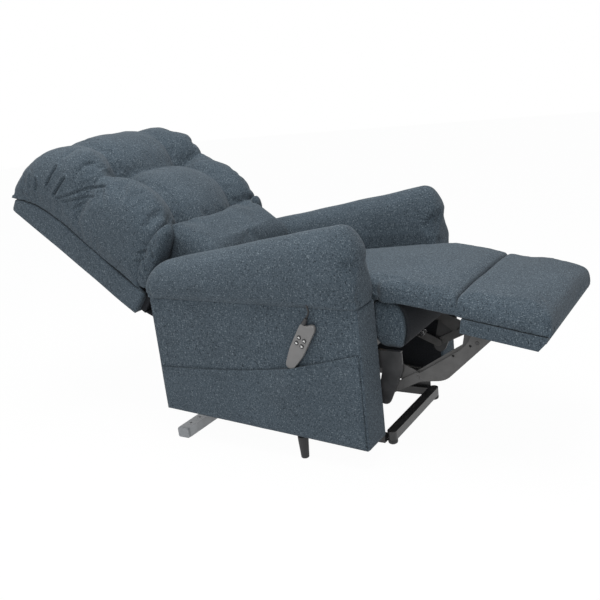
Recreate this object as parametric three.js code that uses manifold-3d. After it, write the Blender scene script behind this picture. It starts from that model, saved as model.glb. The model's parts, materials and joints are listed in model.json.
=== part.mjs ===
// Lift recliner chair, shown fully reclined with its legrest out. Millimetres, +Z up, +X towards the feet.
// The sitter's right is -Y. Places are measured from the rear edge of the arm panels, at floor height and
// on the chair's middle plane; the whole chair is then moved along X to its own origin.
import * as THREE from 'three';
import { mergeVertices } from 'three/addons/utils/BufferGeometryUtils.js';
import Module from 'manifold-3d';

const wasm = await Module();
wasm.setup();

const rad = THREE.MathUtils.degToRad;
const RIGHT = -1;
const LEFT = 1;
const SIDES = [['R', RIGHT], ['L', LEFT]];

// ---------------------------------------------------------------- driving dimensions
const SEAT_GAP = 0.3;              // between pieces that touch
const ORIGIN_X = 299.6;             // the part's origin ahead of the arm panels' rear edge

// arms
const ARM_LENGTH = 724;
const ARM_OUTER_Y = 346;
const ARM_INNER_Y = 235;
const ARM_BOTTOM_REAR = 97;
const ARM_BOTTOM_FRONT = 58;
const PAD_OUTER_Y = 366;
const PAD_INNER_Y = 227;
const PAD_REAR_X = -6;
const PAD_FRONT_X = 737;
const PAD_TOP_REAR = 576;
const PAD_TOP_FRONT = 693;
const PAD_TOP_PEAK_X = 660;
const PAD_SEAM_REAR = 470;
const PAD_SEAM_FRONT = 570;
const PAD_SEAM_RISE_X = 300;       // ahead of this the seam sweeps up to the front

// pivots of the legrest linkage, in the middle plane's X and Z
const REAR_PIVOT = [555.3, 253.9];       // rear support link on the mechanism plate
const FRONT_PIVOT = [661.3, 310.9];      // front support link on the mechanism plate
const CROSS_PIVOT = [826, 243];          // front support link on the long plate
const FOOT_PIVOT = [1000, 358];          // long plate on the footrest bracket
const STEER_REACH = 35;                  // control link's pivot from the cross pivot
const STEER_ANGLE = 205;                 // its direction there, from +X towards +Z
const PLATE_HOLES = [[932, 316], [981, 348]]; // two holes along the long plate
const LINK_T = 4;
const LINK_GAP = 1;
const LINK_R = 13;
const PIN_R = 5;
const PIN_CLEAR = 0.55;                  // radial, on faceted bores
const STEER_Y = 201;                     // inner face of the control links
const SUPPORT_Y = STEER_Y + LINK_T + LINK_GAP;
const LONG_Y = SUPPORT_Y + LINK_T + LINK_GAP;
const MECH_Y = LONG_Y + LINK_T + LINK_GAP;
const TORQUE_TUBE = 24;
const LEGREST_MOTOR_PIVOT = [362, 250];
const LEGREST_LANE = 105;                // the legrest motor's place across the chair
const LEGREST_HORN_R = 75;
const LEGREST_HORN_LEAN = 42;

// lift linkage
const LIFT_PIVOT = [640, 75];            // lift arm on the base
const BODY_PIVOT = [150, 110];           // lift arm on the mechanism plate
const GUIDE_PIVOT = [675, 82];           // guide link on the base
const GUIDE_TOP = [300, 120];            // guide link on the mechanism plate
const LIFT_ARM_Y = 178;
const LIFT_T = 6;
const EAR_T = 4;
const GUIDE_CLEAR = 1.4;                 // the opened pivot of the lift linkage
const LIFT_HORN = [420, 170];            // lift rod on the arm's cross tube
const LIFT_MOTOR_PIVOT = [92, 76];

// base
const RAIL_INNER_Y = 170;
const RAIL_W = 20;
const RAIL_BOTTOM = 8;
const RAIL_TOP = 34;
const REAR_BAR_X = 30;
const REAR_BAR_W = 40;
const REAR_BAR_H = 32;
const REAR_BAR_HALF = 334;
const CAP_T = 10;
const CAP_CORNER_R = 24.8;               // rounds the cap's corners
const FRONT_TUBE_X = 710;
const FRONT_TUBE_W = 30;
const FRONT_TUBE_HALF = 182;
const FRONT_TUBE_BOTTOM = 15;
const FRONT_TUBE_TOP = 42;
const WALL = 2.5;

// mechanism plates and seat
const BEAM_REAR_X = 60;
const BEAM_FRONT_X = 785;
const BEAM_BOTTOM = 262;
const BEAM_TOP = 332;
const NOSE_TOP = 311;                    // the beam's front part, below the seat's front roll
const NOSE_X = 692;
const NOSE_ROOT = [754, 264];
const NOSE_LOBE = [722, 172];
const LEDGE_T = 3.6;
const LEDGE_W = 14;
const DECK_T = 12;
const MID_TUBE_X = 330;
const MID_TUBE = 30;
const REAR_TUBE_X = 78;
const SEAT_REAR_X = 228;
const SEAT_FRONT_X = 797;
const SEAT_HALF = 225;
const SEAT_FRONT_HALF = 244;
const SEAT_TOP = 500;
const SEAT_CROWN = 14;
const ROLL_REAR_X = 700;
const ROLL_FRONT_X = 802;
const ROLL_BOTTOM = 315;
const ROLL_TOP = 457;
const FOOT_X = 500;
const FOOT_Y = 330;
const FOOT_TOP_R = 16;
const FOOT_TIP_R = 12;

// legrest cushions
const BRIDGE_HINGE = [801, 455];
const BRIDGE_TILT = 9.2;
const BRIDGE_LENGTH = 152.6;
const BRIDGE_THICK = 46;
const BRIDGE_HALF = 245;
const FOOTREST_TILT = 9.4;
const FOOT_PAD_REAR = -60;
const FOOT_PAD_FRONT = 188;
const FOOT_PAD_BOTTOM = 67.3;
const FOOT_PAD_THICK = 38;
const FOOT_BOARD_REAR = -42;
const FOOT_BOARD_FRONT = 178;
const FOOT_BOARD_T = 15;
const FOOT_RAIL_T = 17;
const FOOT_RAIL_BOTTOM = 27.5;

// back: its own frame starts at the shell's lower rear edge, X down the back, Z out of its front
const BACK_CORNER = [-113, 397];
const BACK_TILT = 36.5;
const BACK_LENGTH = 606;
const BACK_HALF = 304;
const SHELL_T = 65;
const BACK_BOARD_T = 12;
const BACK_HINGE = [40, 440];
const BACK_DEPTH = 287;                  // rear plane to the tufts' hollows
const BACK_CROWN = 12;                   // fullness of the front above the tufts
const TUFT_ROW = 320;                    // upper row of tufts above the shell's lower edge
const TUFT_Y = 149;
const LUMBAR_HALF = 220;
const LUMBAR_LOWER = 160;
const LUMBAR_REAR_N = 156;
const BACK_BAR_R = 68;                   // drive bar from the back's hinge
const BACK_DRIVE_R = 110;                // its lever's tip from the hinge
const BACK_DRIVE_LEAN = 18;
const BACK_MOTOR_PIVOT = [301, 250];
const BACK_LANE = -95;                   // the back motor's place across the chair

// handset
const HANDSET_FOOT = [505, 303];
const HANDSET_LEAN = 31;
const HANDSET_T = 14;
const HANDSET_HALF = 24;
const HANDSET_FOOT_HALF = 15;
const HANDSET_SINK = 14;
const HANDSET_REAR_TOP = 134;
const HANDSET_FRONT_TOP = 152;
const BUTTON_R = 6;
const BUTTON_PITCH_X = 18;
const BUTTON_PITCH_Z = 19;
const BUTTON_ROW_Z = 84;
const BUTTON_STAND = 1.6;
const BUTTON_WELL = 3;
const CORD_D = 5;
const POCKET_T = 4;
const POCKET_BULGE = [74, 70];           // half length and half height of its bulge round the handset
const HANDSET_OUTER_Y = ARM_OUTER_Y + SEAT_GAP + HANDSET_T;
const MOUTH = [[8, 244], [180, 252], [320, 263], [420, 275], [491, 288], [600, 313], [716, 345]];
const CORD_ROUTE = [                     // after the strain relief, up to the slit under the arm pad
  [583, -354.5, 462],
  [577, -352, 478],
  [569, -350.5, 494],
  [563, -349.6, 508],
];

// ---------------------------------------------------------------- finishes
const FINISH = {
  fabric: new THREE.MeshStandardMaterial({ color: 0x4b5761, roughness: 0.95 }),
  lining: new THREE.MeshStandardMaterial({ color: 0x17181a, roughness: 0.9 }),
  black: new THREE.MeshStandardMaterial({ color: 0x1b1b1d, roughness: 0.5, metalness: 0.6 }),
  grey: new THREE.MeshStandardMaterial({ color: 0x57585a, roughness: 0.45, metalness: 0.6 }),
  silver: new THREE.MeshStandardMaterial({ color: 0xb9bbbd, roughness: 0.35, metalness: 0.8 }),
  rubber: new THREE.MeshStandardMaterial({ color: 0x202124, roughness: 0.8 }),
  plastic: new THREE.MeshStandardMaterial({ color: 0x2a2b2e, roughness: 0.55 }),
  handset: new THREE.MeshStandardMaterial({ color: 0x77767a, roughness: 0.5 }),
  button: new THREE.MeshStandardMaterial({ color: 0xd8d8d6, roughness: 0.5 }),
  wood: new THREE.MeshStandardMaterial({ color: 0xa98a5e, roughness: 0.8 }),
};

// ---------------------------------------------------------------- small geometry helpers
const ARC_STEPS = 6;
const PIN_STEPS = 12;
const SEAM_STEPS = 9;

function toSolid(geometry) {
  const bare = geometry.clone();
  for (const name of ['normal', 'uv']) bare.deleteAttribute(name);
  const merged = mergeVertices(bare, 1e-4);
  return new wasm.Manifold(new wasm.Mesh({
    numProp: 3,
    vertProperties: new Float32Array(merged.attributes.position.array),
    triVerts: new Uint32Array(merged.index.array),
  }));
}

function toGeometry(solid) {
  const mesh = solid.getMesh();
  const geometry = new THREE.BufferGeometry();
  geometry.setAttribute('position', new THREE.BufferAttribute(mesh.vertProperties, 3));
  geometry.setIndex(new THREE.BufferAttribute(mesh.triVerts, 1));
  return geometry;
}

const join = (...parts) => toGeometry(parts.map(toSolid).reduce((a, b) => a.add(b)));
const cut = (body, ...tools) => toGeometry(
  tools.map(toSolid).reduce((a, b) => a.subtract(b), toSolid(body)),
);
const common = (a, b) => toGeometry(toSolid(a).intersect(toSolid(b)));

/** Box between two corners. */
function box(x0, x1, y0, y1, z0, z1) {
  const g = new THREE.BoxGeometry(Math.abs(x1 - x0), Math.abs(y1 - y0), Math.abs(z1 - z0));
  return g.translate((x0 + x1) / 2, (y0 + y1) / 2, (z0 + z1) / 2);
}

/** Box given on one side of the chair by its distances from the middle plane. */
function sideBox(s, x0, x1, d0, d1, z0, z1) {
  return box(x0, x1, Math.min(s * d0, s * d1), Math.max(s * d0, s * d1), z0, z1);
}

/** A plain extrusion of a shape, with square edges. */
function extrude(shape, depth, curveSegments = ARC_STEPS) {
  return new THREE.ExtrudeGeometry(shape, { depth, bevelEnabled: false, curveSegments });
}

/** A solid of revolution about Z from [radius, height] pairs. */
function turned(profile, steps) {
  const g = new THREE.LatheGeometry(profile.map(([r, z]) => new THREE.Vector2(r, z)), steps);
  return g.rotateX(Math.PI / 2);
}

/** A shape drawn in X and Z, given thickness between two distances from the middle plane. */
function slab(shape, s, d0, d1) {
  const low = Math.min(s * d0, s * d1);
  const high = Math.max(s * d0, s * d1);
  const g = extrude(shape, high - low);
  return g.rotateX(Math.PI / 2).translate(0, high, 0);
}

/** Round rod across the chair at one X and Z. */
function crossRod(x, z, s, d0, d1, r, steps = PIN_STEPS) {
  const g = new THREE.CylinderGeometry(r, r, Math.abs(d1 - d0), steps);
  return g.translate(x, s * (d0 + d1) / 2, z);
}

/** Outline of a link: a round end at each pivot and straight tangents between. */
function linkShape([x0, z0], [x1, z1], r0, r1 = r0) {
  const heading = Math.atan2(z1 - z0, x1 - x0);
  const spread = Math.acos((r0 - r1) / Math.hypot(x1 - x0, z1 - z0));
  const shape = new THREE.Shape();
  shape.absarc(x0, z0, r0, heading + spread, heading - spread + 2 * Math.PI, false);
  shape.absarc(x1, z1, r1, heading - spread, heading + spread, false);
  shape.closePath();
  return shape;
}

function polygon(points) {
  return new THREE.Shape(points.map(([x, z]) => new THREE.Vector2(x, z)));
}

const link = (s, d0, d1, a, b, r0, r1) => slab(linkShape(a, b, r0, r1), s, d0, d1);
const bore = (s, d0, d1, [x, z], r) => crossRod(x, z, s, d0 - 1, d1 + 1, r);
const pin = (s, d0, d1, [x, z], r = PIN_R) => crossRod(x, z, s, d0, d1, r);
const plus = ([ax, az], [bx, bz]) => [ax + bx, az + bz];
const minus = ([ax, az], [bx, bz]) => [ax - bx, az - bz];

/** A closed skin through rings of equal count, each end closed by a fan. */
function loft(rings) {
  const count = rings[0].length;
  const points = rings.flat();
  const faces = [];
  for (let i = 0; i + 1 < rings.length; i += 1) {
    for (let j = 0; j < count; j += 1) {
      const a = i * count + j;
      const b = i * count + (j + 1) % count;
      faces.push(a, b, b + count, a, b + count, a + count);
    }
  }
  for (const [ring, flip] of [[0, false], [rings.length - 1, true]]) {
    const hub = points.length;
    const middle = [0, 1, 2].map((k) => rings[ring].reduce((sum, p) => sum + p[k], 0) / count);
    points.push(middle);
    for (let j = 0; j < count; j += 1) {
      const a = ring * count + j;
      const b = ring * count + (j + 1) % count;
      faces.push(...(flip ? [hub, a, b] : [hub, b, a]));
    }
  }
  const g = new THREE.BufferGeometry();
  g.setAttribute('position', new THREE.Float32BufferAttribute(points.flat(), 3));
  g.setIndex(faces);
  if (signedVolume(g) < 0) {
    for (let i = 0; i < faces.length; i += 3) faces.splice(i, 3, faces[i], faces[i + 2], faces[i + 1]);
    g.setIndex(faces);
  }
  return g;
}

function signedVolume(g) {
  const p = g.attributes.position;
  const corner = (i) => new THREE.Vector3().fromBufferAttribute(p, g.index.getX(i));
  let sum = 0;
  for (let i = 0; i < g.index.count; i += 3) sum += corner(i).dot(corner(i + 1).cross(corner(i + 2))) / 6;
  return sum;
}

/** How full a rounded edge is at a distance from it: 0 at the edge, 1 past the edge radius. */
const edgeFill = (distance, r) => (distance >= r ? 1 : Math.sqrt(Math.max(0, 1 - (1 - distance / r) ** 2)));

/** Places along a cushion, close together where its ends turn. */
function stationsAlong(from, to, rFrom, rTo, inner) {
  const turn = [0.02, 0.15, 0.42, 0.75, 1];
  const places = turn.map((t) => from + rFrom * t);
  const last = turn.map((t) => to - rTo * t).reverse();
  const span = last[0] - places[places.length - 1];
  for (let i = 1; i < inner; i += 1) places.push(from + rFrom + (span * i) / inner);
  return places.concat(last);
}

/**
 * A cushion as a loft along X. bottom and top give its faces, half its half width, mid the height where its
 * side seam runs; all edges are rounded with the radius r.
 */
function cushion({ xs, from, to, rFrom, rTo, half, r, bottom, top, mid, across = 9, centreY = 0 }) {
  const turn = [0, 0.1, 0.35, 0.7, 1];
  return loft(xs.map((x) => {
    const w = half(x);
    const pitch = (2 * (w - r)) / (across + 1);
    const inner = Array.from({ length: across }, (_, i) => -w + r + pitch * (i + 1));
    const offsets = [...turn.map((t) => -w + r * t), ...inner, ...turn.map((t) => w - r * t).reverse()];
    const ends = Math.min(edgeFill(x - from, rFrom), edgeFill(to - x, rTo));
    const place = (y, face) => {
      const fill = ends * edgeFill(w - Math.abs(y), r);
      const seam = mid(x);
      return [x, centreY + y, seam + (face(x, y) - seam) * fill];
    };
    const under = offsets.slice(1, -1).reverse();
    return [...offsets.map((y) => place(y, top)), ...under.map((y) => place(y, bottom))];
  }));
}

function addPiece(parent, name, geometry, finish) {
  const mesh = new THREE.Mesh(geometry, finish);
  mesh.name = name;
  parent.add(mesh);
  return mesh;
}

/** A group that stands at a point of the chair's middle plane, pitched nose down by an angle in degrees. */
function tilted(parent, [x, z], pitch) {
  const group = new THREE.Group();
  group.position.set(x, 0, z);
  group.rotation.y = rad(pitch);
  parent.add(group);
  return group;
}

// ---------------------------------------------------------------- base on the floor
function buildBase(chair) {
  const barEnd = REAR_BAR_X + REAR_BAR_W;
  const half = REAR_BAR_HALF;
  const holeYs = [RIGHT, LEFT].flatMap((s) => [300 * s, 255 * s]);
  const rearBar = join(
    cut(
      box(REAR_BAR_X, barEnd, -half, half, 0, REAR_BAR_H),
      box(REAR_BAR_X + WALL, barEnd - WALL, -half + WALL, half - WALL, -1, REAR_BAR_H - WALL),
      ...holeYs.map((y) => uprightHole(REAR_BAR_X + REAR_BAR_W / 2, y, 5)),
    ),
    ...motorEars(LIFT_MOTOR_PIVOT, barEnd - 12, REAR_BAR_H - 1),
  );
  addPiece(chair, 'rear_cross_bar', rearBar, FINISH.silver);

  const tubeR = FRONT_TUBE_W / 2;
  const tubeEnd = FRONT_TUBE_HALF - tubeR;
  const outline = linkShape([FRONT_TUBE_X, -tubeEnd], [FRONT_TUBE_X, tubeEnd], tubeR);
  const tube = extrude(outline, FRONT_TUBE_TOP - FRONT_TUBE_BOTTOM);
  addPiece(chair, 'front_cross_tube', tube.translate(0, 0, FRONT_TUBE_BOTTOM), FINISH.black);

  for (const [tag, s] of SIDES) {
    addPiece(chair, `rear_bar_cap_${tag}`, rearCap(s), FINISH.grey);
    addPiece(chair, `front_foot_${tag}`, frontFoot(s), FINISH.rubber);
    addPiece(chair, `base_rail_${tag}`, baseRail(s), FINISH.black);
  }
}

function uprightHole(x, y, r) {
  const g = new THREE.CylinderGeometry(r, r, 4 * WALL, PIN_STEPS);
  return g.rotateX(Math.PI / 2).translate(x, y, REAR_BAR_H);
}

/** Two ears that hold a motor's rear eye, and the pin through them. */
function motorEars([x, z], rootX, rootZ) {
  const ear = (s) => slab(linkShape([rootX, rootZ], [x, z], 12, 9), s, 5.5, 9.5);
  return [ear(RIGHT), ear(LEFT), crossRod(x, z, 1, -9.5, 9.5, PIN_R)];
}

function rearCap(s) {
  const d0 = REAR_BAR_HALF + SEAT_GAP;
  const d1 = d0 + CAP_T;
  const shell = sideBox(s, REAR_BAR_X - 1.5, REAR_BAR_X + REAR_BAR_W + 1.5, d0, d1, 0, REAR_BAR_H + 1.5);
  const corner = crossRod(REAR_BAR_X + REAR_BAR_W / 2, REAR_BAR_H / 2, s, d0, d1, CAP_CORNER_R, 16);
  return common(shell, corner);
}

function frontFoot(s) {
  const r = FRONT_TUBE_W / 2;
  const top = FRONT_TUBE_BOTTOM - SEAT_GAP;
  const profile = [[0, 0], [r - 5, 0], [r - 1, 3], [r, 7], [r, top], [0, top]];
  return turned(profile, 16).translate(FRONT_TUBE_X, s * (FRONT_TUBE_HALF - r), 0);
}

function baseRail(s) {
  const d1 = RAIL_INNER_Y + RAIL_W;
  const rear = REAR_BAR_X + REAR_BAR_W + SEAT_GAP;
  const front = FRONT_TUBE_X - FRONT_TUBE_W / 2 - SEAT_GAP;
  const rail = sideBox(s, rear, front, RAIL_INNER_Y, d1, RAIL_BOTTOM, RAIL_TOP);
  const [fx, fz] = LIFT_PIVOT;
  const [gx, gz] = GUIDE_PIVOT;
  const root = RAIL_TOP - 6;
  const earShape = polygon([
    [fx - 40, root],
    [gx + 16, root],
    [gx + 16, gz],
    [gx + 8, gz + 14],
    [fx - 12, fz + 15],
    [fx - 18, fz],
  ]);
  const ear = slab(earShape, s, d1 - EAR_T, d1);
  const armFace = LIFT_ARM_Y;
  const guideFace = d1 + 2 + LIFT_T;
  return join(
    rail,
    ear,
    pin(s, armFace - SEAT_GAP - 1, d1 - 1, LIFT_PIVOT),
    pin(s, armFace - SEAT_GAP - 3, armFace - SEAT_GAP, LIFT_PIVOT, PIN_R + 3),
    pin(s, d1 - 1, guideFace + SEAT_GAP + 1, GUIDE_PIVOT),
  );
}

// ---------------------------------------------------------------- lift linkage
function buildLift(chair) {
  const armEnd = LIFT_ARM_Y + LIFT_T;
  const guideY = RAIL_INNER_Y + RAIL_W + 2;
  for (const [tag, s] of SIDES) {
    const arm = cut(
      link(s, LIFT_ARM_Y, armEnd, LIFT_PIVOT, BODY_PIVOT, 17, 16),
      bore(s, LIFT_ARM_Y, armEnd, LIFT_PIVOT, PIN_R + PIN_CLEAR),
      bore(s, LIFT_ARM_Y, armEnd, BODY_PIVOT, PIN_R + 1 + PIN_CLEAR),
    );
    addPiece(chair, `lift_arm_${tag}`, arm, FINISH.black);
    const guide = cut(
      link(s, guideY, guideY + LIFT_T, GUIDE_PIVOT, GUIDE_TOP, 12),
      bore(s, guideY, guideY + LIFT_T, GUIDE_PIVOT, PIN_R + PIN_CLEAR),
      bore(s, guideY, guideY + LIFT_T, GUIDE_TOP, PIN_R + GUIDE_CLEAR),
    );
    addPiece(chair, `lift_guide_${tag}`, guide, FINISH.grey);
  }
  const [hx, hz] = LIFT_HORN;
  const [lx, lz] = LIFT_PIVOT;
  const tubeZ = lz + ((lx - hx) * (BODY_PIVOT[1] - lz)) / (lx - BODY_PIVOT[0]);
  const half = LIFT_ARM_Y - SEAT_GAP;
  const tube = join(
    box(hx - 15, hx + 15, -half, half, tubeZ - 14, tubeZ + 14),
    slab(linkShape([hx, tubeZ], LIFT_HORN, 14, 10), 1, -4, 4),
    crossRod(hx, hz, 1, -7, 7, PIN_R),
  );
  addPiece(chair, 'lift_cross_tube', tube, FINISH.black);
  const shape = { lane: 0, canSide: 1, tube: 262, rodFrom: 86, jaw: 58 };
  buildActuator(chair, 'lift', LIFT_MOTOR_PIVOT, LIFT_HORN, shape);
}

/** A linear actuator between two pivots: motor with gear housing and tube, and its rod with a fork. */
function buildActuator(parent, name, from, to, { lane, canSide, tube, rodFrom, jaw }) {
  const length = Math.hypot(to[0] - from[0], to[1] - from[1]);
  const rise = Math.atan2(to[1] - from[1], to[0] - from[0]);
  const group = tilted(parent, from, -THREE.MathUtils.radToDeg(rise));
  group.position.y = lane;
  const along = (r, x0, x1, y, steps) => {
    const g = new THREE.CylinderGeometry(r, r, x1 - x0, steps);
    return g.rotateZ(Math.PI / 2).translate((x0 + x1) / 2, y, 0);
  };
  const housing = 22;
  const canY = canSide * 42;
  const motor = cut(
    join(
      slab(linkShape([0, 0], [housing + 4, 0], 9, 11), 1, -5, 5),
      box(housing, housing + 48, Math.min(-22, canY - 20), Math.max(22, canY + 20), -22, 22),
      along(19, housing + 47, tube, 0, 16),
      along(20, housing + 47, housing + 125, canY, 16),
    ),
    crossRod(0, 0, 1, -6, 6, PIN_R + PIN_CLEAR),
    along(11, housing + 60, tube + 1, 0, 12),
  );
  addPiece(group, `${name}_motor`, motor, FINISH.plastic);
  const cheek = (s) => slab(linkShape([length - jaw, 0], [length, 0], 9), s, 7.6, 11.6);
  const rod = join(
    along(10, rodFrom, length - jaw - 3, 0, 12),
    box(length - jaw - 10, length - jaw, -11.6, 11.6, -9, 9),
    cheek(RIGHT),
    cheek(LEFT),
  );
  addPiece(group, `${name}_rod`, rod, FINISH.silver);
}

// ---------------------------------------------------------------- mechanism plates and seat
function mechanismPlate(s) {
  const d0 = MECH_Y;
  const d1 = MECH_Y + LINK_T;
  const lobe = (from, to, r0, r1) => link(s, d0, d1, from, to, r0, r1);
  const beamShape = polygon([
    [BEAM_REAR_X, BEAM_BOTTOM],
    [BEAM_FRONT_X, BEAM_BOTTOM],
    [BEAM_FRONT_X, NOSE_TOP],
    [NOSE_X, NOSE_TOP],
    [NOSE_X - 8, BEAM_TOP],
    [BEAM_REAR_X, BEAM_TOP],
  ]);
  const beam = slab(beamShape, s, d0, d1);
  const supportFace = SUPPORT_Y + LINK_T;
  const armFace = LIFT_ARM_Y + LIFT_T;
  const guideFace = RAIL_INNER_Y + RAIL_W + 2 + LIFT_T;
  return join(
    beam,
    lobe([150, 285], BODY_PIVOT, 38, 20),
    lobe([300, 285], GUIDE_TOP, 32, 17),
    lobe([82, 300], BACK_HINGE, 30, 20),
    lobe([555, 285], REAR_PIVOT, 34, 20),
    lobe(NOSE_ROOT, NOSE_LOBE, 30, 21),
    sideBox(s, 240, NOSE_X - 12, d1 - LEDGE_W, d1, BEAM_TOP - 1, BEAM_TOP + LEDGE_T),
    sideBox(s, NOSE_X + 12, BEAM_FRONT_X - 4, d1 - LEDGE_W, d1, NOSE_TOP - 1, NOSE_TOP + LEDGE_T),
    ...[150, 620].map((x) => crossRod(x, 300, s, d1 - 1, ARM_INNER_Y - SEAT_GAP, 12)),
    pin(s, SUPPORT_Y + 0.5, d0 + 1, FRONT_PIVOT),
    pin(s, supportFace + SEAT_GAP, d0 + 1, FRONT_PIVOT, PIN_R + 4),
    pin(s, SUPPORT_Y - SEAT_GAP - 2.4, d0 + 1, REAR_PIVOT),
    pin(s, SUPPORT_Y - SEAT_GAP - 2.4, SUPPORT_Y - SEAT_GAP, REAR_PIVOT, PIN_R + 3),
    pin(s, supportFace + SEAT_GAP, d0 + 1, REAR_PIVOT, PIN_R + 4),
    pin(s, armFace + SEAT_GAP, d0 + 1, BODY_PIVOT, 12),
    pin(s, LIFT_ARM_Y - 1, d0 + 1, BODY_PIVOT, PIN_R + 1),
    pin(s, guideFace + SEAT_GAP, d0 + 1, GUIDE_TOP, 11),
    pin(s, guideFace - LIFT_T - 1, d0 + 1, GUIDE_TOP),
    pin(s, MECH_Y - SEAT_GAP - LINK_T - 1, d0 + 1, BACK_HINGE),
  );
}

/** Round tapered foot under an arm panel, up to the panel's sloping lower edge. */
function sideFoot(s) {
  const top = armBottomAt(FOOT_X + FOOT_TOP_R) - SEAT_GAP;
  const profile = [
    [0, 0],
    [FOOT_TIP_R - 2, 0],
    [FOOT_TIP_R, 2],
    [FOOT_TOP_R, armBottomAt(FOOT_X) - 8],
    [FOOT_TOP_R, top],
    [0, top],
  ];
  return turned(profile, 16).translate(FOOT_X, s * FOOT_Y, 0);
}

function buildSeat(chair) {
  for (const [tag, s] of SIDES) {
    addPiece(chair, `mechanism_plate_${tag}`, mechanismPlate(s), FINISH.black);
    addPiece(chair, `side_foot_${tag}`, sideFoot(s), FINISH.rubber);
  }
  const half = MECH_Y - SEAT_GAP;
  const tubeLow = BEAM_BOTTOM + 2;
  const crossTube = (x) => box(x - MID_TUBE / 2, x + MID_TUBE / 2, -half, half, tubeLow, tubeLow + MID_TUBE);
  const legrestEars = motorEars(LEGREST_MOTOR_PIVOT, MID_TUBE_X + 6, BEAM_BOTTOM + 10);
  const backEars = motorEars(BACK_MOTOR_PIVOT, MID_TUBE_X - 6, BEAM_BOTTOM + 12);
  const midTube = join(
    crossTube(MID_TUBE_X),
    ...legrestEars.map((g) => g.translate(0, LEGREST_LANE, 0)),
    ...backEars.map((g) => g.translate(0, BACK_LANE, 0)),
  );
  addPiece(chair, 'seat_cross_tube', midTube, FINISH.black);
  addPiece(chair, 'rear_cross_tube', crossTube(REAR_TUBE_X), FINISH.black);

  const deckZ = BEAM_TOP + LEDGE_T + SEAT_GAP;
  const deckHalf = half + LINK_T;
  const deck = box(SEAT_REAR_X, ROLL_REAR_X - 2, -deckHalf, deckHalf, deckZ, deckZ + DECK_T);
  addPiece(chair, 'seat_deck', deck, FINISH.wood);

  const deckTop = deckZ + DECK_T + SEAT_GAP;
  const stations = stationsAlong(SEAT_REAR_X, SEAT_FRONT_X, 30, 26, 9);
  const pastArm = (x) => Math.max(0, x - ARM_LENGTH - 2);
  const seat = cushion({
    xs: [...stations, ROLL_REAR_X - 1.5, ROLL_REAR_X - 6].sort((a, b) => a - b),
    from: SEAT_REAR_X,
    to: SEAT_FRONT_X,
    rFrom: 30,
    rTo: 26,
    half: (x) => Math.min(SEAT_FRONT_HALF, SEAT_HALF + pastArm(x) * 1.5),
    r: 24,
    bottom: (x) => (x > ROLL_REAR_X - 3 ? ROLL_TOP + SEAT_GAP : deckTop),
    top: (x, y) => SEAT_TOP + SEAT_CROWN * (1 - (y / SEAT_FRONT_HALF) ** 2),
    mid: () => (ROLL_TOP + SEAT_TOP) / 2,
  });
  addPiece(chair, 'seat_cushion', seat, FINISH.fabric);

  const roll = cushion({
    xs: stationsAlong(ROLL_REAR_X, ROLL_FRONT_X, 10, 42, 2),
    from: ROLL_REAR_X,
    to: ROLL_FRONT_X,
    rFrom: 10,
    rTo: 42,
    half: () => SEAT_HALF,
    r: 18,
    bottom: () => ROLL_BOTTOM + SEAT_GAP,
    top: () => ROLL_TOP - SEAT_GAP,
    mid: () => 392,
  });
  addPiece(chair, 'seat_front_roll', roll, FINISH.fabric);
}

// ---------------------------------------------------------------- arms
const armBottomAt = (x) => ARM_BOTTOM_REAR + ((ARM_BOTTOM_FRONT - ARM_BOTTOM_REAR) * x) / ARM_LENGTH;

/** Height of the seam between arm pad and panel: level at the rear, sweeping up to the front. */
function padSeamAt(x) {
  const t = Math.max(0, (x - PAD_SEAM_RISE_X) / (ARM_LENGTH - PAD_SEAM_RISE_X));
  return PAD_SEAM_REAR + (PAD_SEAM_FRONT - PAD_SEAM_REAR) * t * t;
}

function padTopAt(x) {
  const slope = (PAD_TOP_FRONT - PAD_TOP_REAR) / PAD_TOP_PEAK_X;
  const fall = Math.max(0, x - PAD_TOP_PEAK_X);
  return PAD_TOP_REAR + slope * Math.min(x, PAD_TOP_PEAK_X) - (fall * fall) / 160;
}

function buildArms(chair) {
  const seamStep = (ARM_LENGTH - PAD_SEAM_RISE_X) / (SEAM_STEPS - 1);
  const seamXs = Array.from({ length: SEAM_STEPS }, (_, i) => PAD_SEAM_RISE_X + seamStep * i);
  const outline = polygon([
    [0, ARM_BOTTOM_REAR],
    [ARM_LENGTH - 6, ARM_BOTTOM_FRONT],
    [ARM_LENGTH, ARM_BOTTOM_FRONT + 6],
    ...seamXs.map((x) => [x, padSeamAt(x) - SEAT_GAP]).reverse(),
    [0, PAD_SEAM_REAR - SEAT_GAP],
  ]);
  const padHalf = (PAD_OUTER_Y - PAD_INNER_Y) / 2;
  const seamAt = (x) => padSeamAt(Math.min(x, ARM_LENGTH));
  const xs = [...stationsAlong(PAD_REAR_X, PAD_FRONT_X, 60, 84, 7)];
  for (const [tag, s] of SIDES) {
    addPiece(chair, `arm_panel_${tag}`, slab(outline, s, ARM_INNER_Y, ARM_OUTER_Y), FINISH.fabric);
    const pad = cushion({
      xs,
      from: PAD_REAR_X,
      to: PAD_FRONT_X,
      rFrom: 60,
      rTo: 84,
      half: () => padHalf,
      r: 48,
      bottom: (x) => seamAt(x) + SEAT_GAP + Math.max(0, x - PAD_SEAM_RISE_X) * 0.012,
      top: (x, y) => padTopAt(x) - 0.0012 * y * y,
      mid: (x) => seamAt(x) + 0.42 * (padTopAt(x) - seamAt(x)),
      across: 3,
      centreY: s * (PAD_INNER_Y + padHalf),
    });
    addPiece(chair, `arm_pad_${tag}`, pad, FINISH.fabric);
  }
}

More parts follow.
